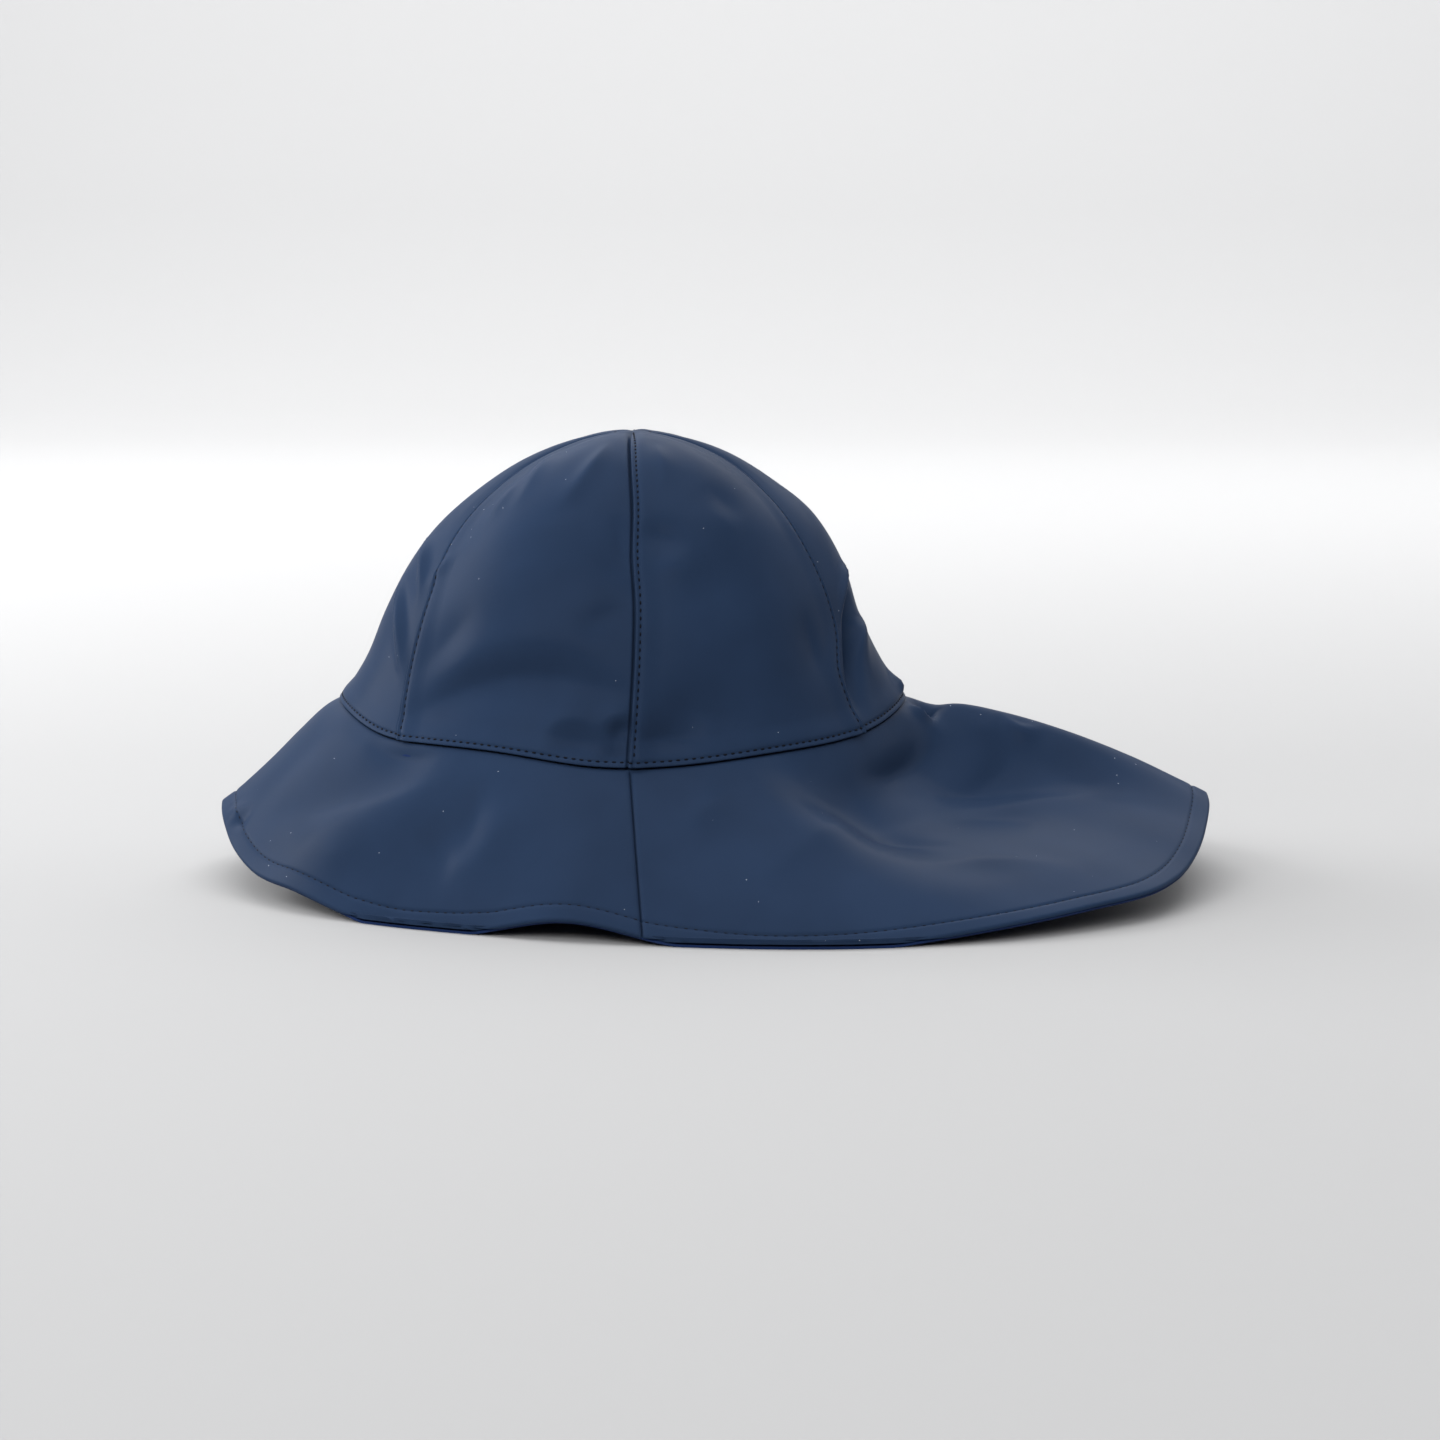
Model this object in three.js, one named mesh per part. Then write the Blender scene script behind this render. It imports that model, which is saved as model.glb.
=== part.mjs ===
// A child's soft rain hat of coated cloth: a crown of six sewn panels over a sloping brim of two plies,
// short in front and long at the back as a neck flap. Units are millimetres, +Z is up, +X is the back.
// "round" is an angle in degrees about the crown's middle, 0 at the back and -90 at the near side.
import * as THREE from "three";

// The head opening, and the heights of the seam where the crown meets the brim
const HEAD_HALF_LENGTH = 91;
const HEAD_HALF_WIDTH = 80;
const SEAM_HEIGHT_ENDS = 58.5;
const SEAM_HEIGHT_SIDES = 46.5;
const CROWN_HEIGHT = 144.5;
const APEX_BACK = 3.5;

// Cloth, and the clearances between pieces
const CROWN_WALL = 1.2;
const PLY_WALL = 1;
const GAP = 0.3;
const SEAM_MARGIN = 2.6;
const PANEL_PUFF = 2.6;
const BRIM_THICKNESS = 2 * PLY_WALL + GAP;

// Mesh density
const WIDE_PANEL_COLUMNS = 14;
const NARROW_PANEL_COLUMNS = 8;
const BRIM_DEGREES_PER_COLUMN = 3.9;
const CROWN_STEPS = [0, 0.05, 0.12, 0.2, 0.28, 0.36, 0.44, 0.52, 0.6, 0.68, 0.76, 0.84, 0.92, 0.988];
const BRIM_STEPS = [1, 0.95, 0.86, 0.72, 0.54, 0.36, 0.2, 0.08, 0, -1];

const CLOTH_COLOUR = 0x2c3d5a;
const FACING_COLOUR = 0x35507c;
const CLOTH_ROUGHNESS = 0.55;

// How far out and up the crown's wall stands at each step from the seam (0) to the apex (1)
const CROWN_PROFILE = [
  { step: 0, frontOut: 1, frontUp: 0, sideOut: 1, sideUp: 0, backOut: 1, backUp: 0 },
  { step: 0.125, frontOut: 0.905, frontUp: 0.155,
    sideOut: 0.955, sideUp: 0.165, backOut: 0.895, backUp: 0.18 },
  { step: 0.25, frontOut: 0.835, frontUp: 0.32, sideOut: 0.9, sideUp: 0.33, backOut: 0.825, backUp: 0.32 },
  { step: 0.375, frontOut: 0.752, frontUp: 0.48, sideOut: 0.825, sideUp: 0.495, backOut: 0.76, backUp: 0.5 },
  { step: 0.5, frontOut: 0.65, frontUp: 0.622, sideOut: 0.72, sideUp: 0.65, backOut: 0.65, backUp: 0.672 },
  { step: 0.625, frontOut: 0.51, frontUp: 0.755, sideOut: 0.58, sideUp: 0.79, backOut: 0.505, backUp: 0.79 },
  { step: 0.75, frontOut: 0.35, frontUp: 0.872, sideOut: 0.41, sideUp: 0.9, backOut: 0.345, backUp: 0.892 },
  { step: 0.875, frontOut: 0.175, frontUp: 0.955,
    sideOut: 0.21, sideUp: 0.97, backOut: 0.18, backUp: 0.958 },
  { step: 1, frontOut: 0, frontUp: 1, sideOut: 0, sideUp: 1, backOut: 0, backUp: 1 },
];

// Where the crown's six seams run, as degrees either side of the back, at each step up the wall
const CROWN_SEAMS = [
  { step: 0, front: 142.3, side: 87.3, back: 30 },
  { step: 0.05, front: 144.6, side: 86.9, back: 29.8 },
  { step: 0.15, front: 147.3, side: 86.2, back: 29 },
  { step: 0.26, front: 149.2, side: 85.6, back: 24 },
  { step: 0.38, front: 151.8, side: 85.3, back: 23.8 },
  { step: 0.5, front: 157, side: 86, back: 23.2 },
  { step: 0.62, front: 162.5, side: 85.6, back: 18.5 },
  { step: 0.75, front: 165.5, side: 86.3, back: 14 },
  { step: 1, front: 167, side: 88, back: 12 },
];

// How far out the brim's edge lies from the crown's middle, and the height of its underside,
// at degrees either side of the back. A negative height is pressed flat by the floor.
const BRIM_EDGE = [
  { round: 0, reach: 190.5, height: 24 },
  { round: 3, reach: 190.5, height: 22.5 },
  { round: 8, reach: 189.5, height: 18.5 },
  { round: 14, reach: 189, height: 14 },
  { round: 18, reach: 188.5, height: 11 },
  { round: 22, reach: 188, height: 9 },
  { round: 28, reach: 186, height: 7.3 },
  { round: 36, reach: 178.5, height: 5.8 },
  { round: 45, reach: 170, height: 3.4 },
  { round: 54, reach: 160, height: 0.2 },
  { round: 62, reach: 151.5, height: -2.8 },
  { round: 71, reach: 142, height: -3.8 },
  { round: 80, reach: 133.5, height: -2.4 },
  { round: 92, reach: 125, height: -0.8 },
  { round: 106, reach: 120, height: -1.2 },
  { round: 117, reach: 119, height: -3.4 },
  { round: 126, reach: 120, height: -4 },
  { round: 134, reach: 121.5, height: 0 },
  { round: 145, reach: 124, height: 4.6 },
  { round: 155, reach: 127, height: 7 },
  { round: 163, reach: 129, height: 12 },
  { round: 171, reach: 130, height: 18 },
  { round: 180, reach: 131, height: 21.5 },
];

// How far the brim bows up, in mm, on its way from the crown's seam (0) to its edge (1)
const BRIM_BOW = [
  { step: 0, front: 0, side: 0, back: 0 },
  { step: 0.15, front: 1.8, side: 1, back: 3.4 },
  { step: 0.35, front: 1.2, side: 1.8, back: 5.6 },
  { step: 0.55, front: 0, side: 1.8, back: 5.8 },
  { step: 0.75, front: -0.6, side: 1.4, back: 4.2 },
  { step: 0.9, front: -0.6, side: 0.6, back: 1.8 },
  { step: 1, front: 0, side: 0, back: 0 },
];

// How far the neck flap falls away, in mm, on either side of the ridge down its middle. It falls over
// FLAP_RUN from a ridge rounded by FLAP_CREST, and less and less between the two angles of FLAP_SIDES.
const FLAP_FALL = [
  { step: 0, fall: 0 },
  { step: 0.03, fall: 4 },
  { step: 0.06, fall: 8 },
  { step: 0.1, fall: 12.5 },
  { step: 0.16, fall: 17 },
  { step: 0.22, fall: 19 },
  { step: 0.35, fall: 18 },
  { step: 0.6, fall: 11 },
  { step: 0.8, fall: 5 },
  { step: 1, fall: 0 },
];
const FLAP_RUN = 24;
const FLAP_CREST = 6;
const FLAP_SIDES = { full: 38, none: 64 };

// Soft waves of the seam round the crown and of the brim's edge: where, how wide and how high
const SEAM_WAVES = [
  { round: -114, spread: 16, lift: 1.8 },
  { round: 106, spread: 16, lift: 2 },
  { round: -148, spread: 15, lift: -3 },
  { round: 150, spread: 15, lift: -2.5 },
  { round: -32, spread: 20, lift: -3 },
  { round: 35, spread: 20, lift: -2.5 },
];
const EDGE_WAVES = [
  { round: -97, spread: 11, lift: 5 },
  { round: 94, spread: 13, lift: 3.5 },
];

// The brim's two side seams, as angles at the crown's seam and at the edge
const BRIM_SEAM_LEFT = { atCrown: -87.3, atEdge: -86.3 };
const BRIM_SEAM_RIGHT = { atCrown: 87.3, atEdge: 87 };

// Dents and folds. Each runs from place A to place B, bowed to the side where steps go up, and fades out
// over its own width on the side where steps go down and on the side where they go up, in millimetres.
const CROWN_FOLDS = [
  { roundA: -144, stepA: 0.039, roundB: -85.7, stepB: 0.166, bow: 13.1, down: 14, up: 7, lift: -4 },
  { roundA: -140.9, stepA: 0.144, roundB: -86.4, stepB: 0.262, bow: 9.3, down: 7, up: 12, lift: 1.8 },
  { roundA: -106.8, stepA: 0, roundB: -85.3, stepB: 0.05, bow: 3.6, down: 6, up: 5, lift: -1.8 },
  { roundA: -102.9, stepA: 0.3, roundB: -85.6, stepB: 0.385, bow: 0.7, down: 8, up: 4, lift: -1.5 },
  { roundA: -116.7, stepA: 0.563, roundB: -108, stepB: 0.871, bow: -2.8, down: 4, up: 5, lift: 1.4 },
  { roundA: -178.5, stepA: 0.374, roundB: -147.7, stepB: 0.104, bow: 5, down: 4, up: 4, lift: 1.6 },
  { roundA: -87.3, stepA: 0.069, roundB: -68.5, stepB: 0.045, bow: 0.9, down: 4, up: 8, lift: -3.6 },
  { roundA: -82.5, stepA: 0.158, roundB: -56, stepB: 0.04, bow: 1.7, down: 9, up: 9, lift: -2.2 },
  { roundA: -64.5, stepA: 0.504, roundB: -61.6, stepB: 0.279, bow: -0.4, down: 9, up: 9, lift: -1.4 },
  { roundA: -30.1, stepA: 0.026, roundB: -7.4, stepB: 0.325, bow: 0.5, down: 4.5, up: 3.6, lift: -4.6 },
  { roundA: -26.3, stepA: 0.052, roundB: 0.5, stepB: 0.26, bow: 3.2, down: 1.8, up: 6, lift: 2.6 },
  { roundA: 95, stepA: 0.14, roundB: 150, stepB: 0.08, bow: -9, down: 14, up: 7, lift: -2.6 },
  { roundA: 60, stepA: 0.16, roundB: 88, stepB: 0.1, bow: -4, down: 9, up: 7, lift: -2.4 },
  { roundA: 48, stepA: 0.5, roundB: 62, stepB: 0.3, bow: 2, down: 8, up: 7, lift: -1.3 },
  { roundA: 5, stepA: 0.3, roundB: 27, stepB: 0.05, bow: 1, down: 4, up: 5, lift: -2.6 },
];
const BRIM_FOLDS = [
  { roundA: -166.6, stepA: 0.71, roundB: -123.7, stepB: 0.072, bow: 0.8, down: 10, up: 4, lift: -3.4 },
  { roundA: -161, stepA: 0.681, roundB: -121.8, stepB: 0.118, bow: 2.4, down: 4, up: 14, lift: 2.4 },
  { roundA: -119.7, stepA: 0.132, roundB: -117, stepB: 0.668, bow: -1.3, down: 6, up: 4, lift: -2.4 },
  { roundA: -119, stepA: 0.782, roundB: -109.6, stepB: 0.26, bow: 2.2, down: 6, up: 6, lift: 1.4 },
  { roundA: -38, stepA: 0.082, roundB: -12.3, stepB: 0.14, bow: 0.1, down: 7, up: 5, lift: -3.2 },
  { roundA: -59, stepA: 0.28, roundB: -7.1, stepB: 0.361, bow: -14.7, down: 7, up: 10, lift: -2.4 },
  { roundA: -24.9, stepA: 0.198, roundB: -5.8, stepB: 0.938, bow: -9.2, down: 5, up: 5, lift: 1.5 },
  { roundA: -51.9, stepA: 0.406, roundB: -33.8, stepB: 0.495, bow: -12.2, down: 7, up: 7, lift: -1.3 },
  { roundA: -70.5, stepA: 0.661, roundB: -44.9, stepB: 0.18, bow: 1.5, down: 6, up: 6, lift: 1.6 },
  { roundA: -9, stepA: 0.075, roundB: 3, stepB: 0.075, bow: 0, down: 5, up: 5, lift: -6 },
  { roundA: 30, stepA: 0.2, roundB: 60, stepB: 0.3, bow: 6, down: 8, up: 6, lift: -2.6 },
  { roundA: 40, stepA: 0.62, roundB: 62, stepB: 0.42, bow: 3, down: 8, up: 8, lift: 1.6 },
  { roundA: 112, stepA: 0.7, roundB: 132, stepB: 0.14, bow: 2, down: 9, up: 5, lift: -2.2 },
  { roundA: 116, stepA: 0.78, roundB: 150, stepB: 0.3, bow: 2, down: 6, up: 10, lift: 1.6 },
];

// How sharp the crests of the folds are: 2 is a soft swell, 1 a crease
const FOLD_CREST = 1.6;

// The way up the crown's wall, in millimetres, which turns a fold's sizes into steps
const CROWN_SLANT = 130;

function wrapped(degrees) {
  return THREE.MathUtils.euclideanModulo(degrees + 180, 360) - 180;
}

// A smooth curve through one column of a table, read at a value of its key column
function column(rows, key, name, at) {
  const last = rows.length - 1;
  let index = 0;
  while (index < last - 1 && at > rows[index + 1][key]) {
    index += 1;
  }
  const slope = (i) => {
    const low = rows[Math.max(i - 1, 0)];
    const high = rows[Math.min(i + 1, last)];
    return (high[name] - low[name]) / (high[key] - low[key]);
  };
  const width = rows[index + 1][key] - rows[index][key];
  const t = (at - rows[index][key]) / width;
  const start = rows[index][name];
  const rise = rows[index + 1][name] - start;
  const leave = slope(index) * width;
  const arrive = slope(index + 1) * width;
  return start + t * (leave + t * (3 * rise - 2 * leave - arrive + t * (leave + arrive - 2 * rise)));
}

// The shares of the front, side and back columns of a table at an angle round the hat
function shares(round) {
  const along = Math.cos(THREE.MathUtils.degToRad(round));
  return { front: along < 0 ? along ** 2 : 0, side: 1 - along ** 2, back: along > 0 ? along ** 2 : 0 };
}

function blended(rows, names, round, step) {
  const share = shares(round);
  return share.front * column(rows, "step", names.front, step)
    + share.side * column(rows, "step", names.side, step)
    + share.back * column(rows, "step", names.back, step);
}

function waves(rows, round) {
  const liftOf = (row) => row.lift * Math.exp(-((wrapped(round - row.round) / row.spread) ** 2));
  return rows.reduce((sum, row) => sum + liftOf(row), 0);
}

// What the folds of a table lift at a point; the radius and slant turn angles and steps into lengths
function foldLift(folds, round, step, radiusAt, slantAt) {
  let lift = 0;
  for (const fold of folds) {
    const roundMiddle = (fold.roundA + fold.roundB) / 2;
    const stepMiddle = (fold.stepA + fold.stepB) / 2;
    const perDegree = THREE.MathUtils.degToRad(radiusAt(roundMiddle, stepMiddle));
    const perStep = slantAt(roundMiddle);
    const sizes = new THREE.Vector2(perDegree, perStep);
    const reach = new THREE.Vector2(fold.roundB - fold.roundA, fold.stepB - fold.stepA).multiply(sizes);
    const place = new THREE.Vector2(wrapped(round - roundMiddle), step - stepMiddle).multiply(sizes);
    const ahead = reach.clone().normalize();
    const along = (2 * place.dot(ahead)) / reach.length();
    const fade = Math.max(1 - along ** 2, 0);
    const side = ahead.cross(place) - fold.bow * fade;
    const width = side > 0 ? fold.up : fold.down;
    lift += fold.lift * fade ** 2 * Math.exp(-((Math.abs(side) / width) ** FOLD_CREST));
  }
  return lift;
}

function polar(round, radius, height, back = 0) {
  const angle = THREE.MathUtils.degToRad(round);
  return new THREE.Vector3(back + radius * Math.cos(angle), radius * Math.sin(angle), height);
}

// The normal of a surface given as a function of round and step, on its outer side where steps go up
function normalOf(surface, round, step) {
  const turn = 0.5;
  const stride = 0.004;
  const middle = THREE.MathUtils.clamp(step, stride, 1 - stride);
  const along = surface(round + turn, middle).sub(surface(round - turn, middle));
  const up = surface(round, middle + stride).sub(surface(round, middle - stride));
  return along.cross(up).normalize();
}

function seamRadius(round) {
  const angle = THREE.MathUtils.degToRad(round);
  const across = Math.hypot(HEAD_HALF_WIDTH * Math.cos(angle), HEAD_HALF_LENGTH * Math.sin(angle));
  return (HEAD_HALF_LENGTH * HEAD_HALF_WIDTH) / across;
}

function seamHeight(round) {
  const droop = (SEAM_HEIGHT_ENDS - SEAM_HEIGHT_SIDES) * shares(round).side;
  return SEAM_HEIGHT_ENDS - droop + waves(SEAM_WAVES, round);
}

function crownRadius(round, step) {
  const names = { front: "frontOut", side: "sideOut", back: "backOut" };
  return seamRadius(round) * blended(CROWN_PROFILE, names, round, step);
}

function crownForm(round, step) {
  const up = blended(CROWN_PROFILE, { front: "frontUp", side: "sideUp", back: "backUp" }, round, step);
  const foot = seamHeight(round);
  return polar(round, crownRadius(round, step), foot + (CROWN_HEIGHT - foot) * up, APEX_BACK * step ** 2);
}

// A point of a crown panel: way is 0 at its first seam and 1 at its last, and depth goes into the cloth
function crownPoint(round, step, way, depth) {
  const puff = PANEL_PUFF * (1 - (2 * way - 1) ** 2) * Math.sin(Math.PI * step ** 1.6) ** 0.8;
  const folds = foldLift(CROWN_FOLDS, round, step, crownRadius, () => CROWN_SLANT);
  const free = THREE.MathUtils.smoothstep(step, 0, 0.03);
  const settled = THREE.MathUtils.smoothstep(step, 0, 0.1);
  const direction = polar(round, 1, 0).lerp(normalOf(crownForm, round, step), settled).normalize();
  return crownForm(round, step).addScaledVector(direction, puff + folds * free - depth);
}

function edgeReach(round) {
  return column(BRIM_EDGE, "round", "reach", Math.abs(wrapped(round)));
}

function brimWidth(round) {
  return edgeReach(round) - seamRadius(round);
}

function brimRadius(round, step) {
  return seamRadius(round) + brimWidth(round) * step;
}

function flapFall(round, step) {
  const aside = Math.abs(Math.sin(THREE.MathUtils.degToRad(round))) * brimRadius(round, step);
  const run = Math.min((Math.hypot(aside, FLAP_CREST) - FLAP_CREST) / FLAP_RUN, 1);
  const share = 1 - THREE.MathUtils.smoothstep(Math.abs(wrapped(round)), FLAP_SIDES.full, FLAP_SIDES.none);
  return column(FLAP_FALL, "step", "fall", step) * Math.sin((Math.PI / 2) * run) * share;
}

// The brim's upper surface, before its folds, from the crown's seam (0) to the edge (1)
function brimForm(round, step) {
  const start = seamHeight(round) - GAP;
  const edge = column(BRIM_EDGE, "round", "height", Math.abs(wrapped(round))) + waves(EDGE_WAVES, round);
  const bow = blended(BRIM_BOW, { front: "front", side: "side", back: "back" }, round, step);
  const height = start + (edge + BRIM_THICKNESS - start) * step + bow - flapFall(round, step);
  return polar(round, brimRadius(round, step), height);
}

// A point of the brim, where depth goes down into the cloth. Steps under 0 are the level margin
// that the crown's foot stands over, and what the edge presses on the floor lies flat there.
function brimPoint(round, step, depth) {
  if (step <= 0) {
    return polar(round, seamRadius(round) + GAP + SEAM_MARGIN * step, seamHeight(round) - GAP - depth);
  }
  const free = THREE.MathUtils.smoothstep(step, 0, 0.08);
  const settled = THREE.MathUtils.smoothstep(step, 0, 0.12);
  const folds = foldLift(BRIM_FOLDS, round, step, brimRadius, brimWidth);
  const normal = normalOf(brimForm, round, step).negate();
  const direction = new THREE.Vector3(0, 0, 1).lerp(normal, settled).normalize();
  const point = brimForm(round, step).addScaledVector(direction, folds * free - depth);
  point.z = Math.max(point.z, BRIM_THICKNESS - depth);
  return point;
}

// A closed wall between two grids of points, each given as a function of the column and row numbers
function wall(columns, rows, outerPoint, innerPoint) {
  const positions = [];
  const indices = [];
  const perSide = (columns + 1) * (rows + 1);
  for (const pointAt of [outerPoint, innerPoint]) {
    for (let row = 0; row <= rows; row += 1) {
      for (let along = 0; along <= columns; along += 1) {
        positions.push(...pointAt(along, row).toArray());
      }
    }
  }
  const outer = (along, row) => row * (columns + 1) + along;
  const inner = (along, row) => perSide + outer(along, row);
  const quad = (a, b, c, d) => indices.push(a, b, c, a, c, d);
  for (let row = 0; row < rows; row += 1) {
    for (let along = 0; along < columns; along += 1) {
      quad(outer(along, row), outer(along + 1, row), outer(along + 1, row + 1), outer(along, row + 1));
      quad(inner(along, row), inner(along, row + 1), inner(along + 1, row + 1), inner(along + 1, row));
    }
    quad(inner(0, row), outer(0, row), outer(0, row + 1), inner(0, row + 1));
    quad(outer(columns, row), inner(columns, row), inner(columns, row + 1), outer(columns, row + 1));
  }
  for (let along = 0; along < columns; along += 1) {
    quad(inner(along, 0), inner(along + 1, 0), outer(along + 1, 0), outer(along, 0));
    quad(outer(along, rows), outer(along + 1, rows), inner(along + 1, rows), inner(along, rows));
  }
  const geometry = new THREE.BufferGeometry();
  geometry.setAttribute("position", new THREE.Float32BufferAttribute(positions, 3));
  geometry.setIndex(indices);
  geometry.computeVertexNormals();
  return geometry;
}

function piece(name, geometry, colour) {
  const look = { color: colour, roughness: CLOTH_ROUGHNESS, metalness: 0 };
  const mesh = new THREE.Mesh(geometry, new THREE.MeshStandardMaterial(look));
  mesh.name = name;
  return mesh;
}

// The angle that half a gap takes at a radius
function clearance(radius) {
  return THREE.MathUtils.radToDeg((0.5 * GAP) / radius);
}

// A crown panel between two seams, each given by its column of CROWN_SEAMS and its side of the hat
function crownPanel(name, first, last, columns) {
  const turn = last.side < first.side ? 360 : 0;
  const pointAt = (depth) => (along, row) => {
    const step = CROWN_STEPS[row];
    const start = first.side * column(CROWN_SEAMS, "step", first.seam, step);
    const end = last.side * column(CROWN_SEAMS, "step", last.seam, step) + turn;
    const from = start + clearance(crownRadius(start, step));
    const to = end - clearance(crownRadius(end, step));
    const way = along / columns;
    return crownPoint(from + (to - from) * way, step, way, depth);
  };
  const geometry = wall(columns, CROWN_STEPS.length - 1, pointAt(0), pointAt(CROWN_WALL));
  return piece(name, geometry, CLOTH_COLOUR);
}

// One ply of a stretch of the brim between two side seams, its upper face at a depth under the brim's own
function brimPly(name, first, last, depth, colour) {
  const turn = last.atEdge < first.atEdge ? 360 : 0;
  const columns = Math.round((last.atEdge + turn - first.atEdge) / BRIM_DEGREES_PER_COLUMN);
  const pointAt = (under) => (along, row) => {
    const step = BRIM_STEPS[row];
    const out = Math.max(step, 0);
    const room = clearance(brimRadius(first.atEdge, out));
    const from = THREE.MathUtils.lerp(first.atCrown, first.atEdge, out) + room;
    const to = THREE.MathUtils.lerp(last.atCrown, last.atEdge, out) + turn - room;
    return brimPoint(from + ((to - from) * along) / columns, step, under);
  };
  const geometry = wall(columns, BRIM_STEPS.length - 1, pointAt(depth), pointAt(depth + PLY_WALL));
  return piece(name, geometry, colour);
}

const LEFT = -1;
const RIGHT = 1;
const FACING_DEPTH = PLY_WALL + GAP;

function crown() {
  const seam = (name, side) => ({ seam: name, side });
  const group = new THREE.Group();
  group.add(
    crownPanel("crown_panel_back", seam("back", LEFT), seam("back", RIGHT), NARROW_PANEL_COLUMNS),
    crownPanel("crown_panel_right_back", seam("back", RIGHT), seam("side", RIGHT), WIDE_PANEL_COLUMNS),
    crownPanel("crown_panel_right_front", seam("side", RIGHT), seam("front", RIGHT), WIDE_PANEL_COLUMNS),
    crownPanel("crown_panel_front", seam("front", RIGHT), seam("front", LEFT), NARROW_PANEL_COLUMNS),
    crownPanel("crown_panel_left_front", seam("front", LEFT), seam("side", LEFT), WIDE_PANEL_COLUMNS),
    crownPanel("crown_panel_left_back", seam("side", LEFT), seam("back", LEFT), WIDE_PANEL_COLUMNS),
  );
  return group;
}

function brim() {
  const group = new THREE.Group();
  group.add(
    brimPly("neck_flap", BRIM_SEAM_LEFT, BRIM_SEAM_RIGHT, 0, CLOTH_COLOUR),
    brimPly("neck_flap_facing", BRIM_SEAM_LEFT, BRIM_SEAM_RIGHT, FACING_DEPTH, FACING_COLOUR),
    brimPly("brim_front", BRIM_SEAM_RIGHT, BRIM_SEAM_LEFT, 0, CLOTH_COLOUR),
    brimPly("brim_front_facing", BRIM_SEAM_RIGHT, BRIM_SEAM_LEFT, FACING_DEPTH, FACING_COLOUR),
  );
  return group;
}

// The finished hat stands on the floor, with the middle of its outline over the origin
function hat() {
  const group = new THREE.Group();
  group.add(crown(), brim());
  const box = new THREE.Box3().setFromObject(group);
  const middle = box.getCenter(new THREE.Vector3());
  group.position.set(-middle.x, -middle.y, -box.min.z);
  return group;
}

export default hat();
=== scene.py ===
"""A child's soft rain hat of coated cloth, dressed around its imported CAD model.

The crown's six panels lap over each other at topstitched seams, its foot laps over the brim,
and the brim is an outer cloth and a facing sewn together along a topstitched hem.
Lengths in the tables are in millimetres, in the part's own frame. "Round" is an angle in
degrees about the crown's middle: 0 is the back, -90 the wearer's left, which the camera sees.
"""

import math

import bpy
import numpy as np
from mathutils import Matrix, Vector


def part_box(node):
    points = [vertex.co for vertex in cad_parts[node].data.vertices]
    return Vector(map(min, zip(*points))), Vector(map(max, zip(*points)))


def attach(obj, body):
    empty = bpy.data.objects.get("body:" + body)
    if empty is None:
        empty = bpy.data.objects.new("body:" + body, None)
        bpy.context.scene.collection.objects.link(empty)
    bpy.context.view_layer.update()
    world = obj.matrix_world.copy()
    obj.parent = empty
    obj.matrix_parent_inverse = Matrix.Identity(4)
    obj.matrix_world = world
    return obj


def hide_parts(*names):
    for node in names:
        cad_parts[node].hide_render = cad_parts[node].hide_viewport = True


bl_info = {
    "name": "Rain hat",
    "version": (1, 0, 0),
    "blender": (4, 5, 0),
    "location": "View3D > Sidebar > Rain hat",
    "description": "Dresses a soft rain hat of coated cloth around its CAD model",
    "category": "Object",
}

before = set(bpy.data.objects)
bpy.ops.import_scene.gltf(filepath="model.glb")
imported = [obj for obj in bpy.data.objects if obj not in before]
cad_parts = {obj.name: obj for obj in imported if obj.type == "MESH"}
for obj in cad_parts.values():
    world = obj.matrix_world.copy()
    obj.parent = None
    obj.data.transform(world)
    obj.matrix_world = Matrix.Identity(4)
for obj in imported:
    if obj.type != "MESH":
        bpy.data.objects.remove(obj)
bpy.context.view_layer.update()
MM = 0.001

LEFT = -1
RIGHT = 1


def table(columns, *rows):
    """A small table, as its named columns."""
    return dict(zip(columns.split(), np.array(rows, float).T))


CROWN_PROFILE = table(
    "step front_out front_up side_out side_up back_out back_up",
    (0.0, 1.0, 0.0, 1.0, 0.0, 1.0, 0.0),
    (0.125, 0.905, 0.155, 0.955, 0.165, 0.895, 0.18),
    (0.25, 0.835, 0.32, 0.9, 0.33, 0.825, 0.32),
    (0.375, 0.752, 0.48, 0.825, 0.495, 0.76, 0.5),
    (0.5, 0.65, 0.622, 0.72, 0.65, 0.65, 0.672),
    (0.625, 0.51, 0.755, 0.58, 0.79, 0.505, 0.79),
    (0.75, 0.35, 0.872, 0.41, 0.9, 0.345, 0.892),
    (0.875, 0.175, 0.955, 0.21, 0.97, 0.18, 0.958),
    (1.0, 0.0, 1.0, 0.0, 1.0, 0.0, 1.0),
)
CROWN_SEAMS = table(
    "step front side back",
    (0.0, 142.3, 87.3, 30.0),
    (0.05, 144.6, 86.9, 29.8),
    (0.15, 147.3, 86.2, 29.0),
    (0.26, 149.2, 85.6, 24.0),
    (0.38, 151.8, 85.3, 23.8),
    (0.5, 157.0, 86.0, 23.2),
    (0.62, 162.5, 85.6, 18.5),
    (0.75, 165.5, 86.3, 14.0),
    (1.0, 167.0, 88.0, 12.0),
)
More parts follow.
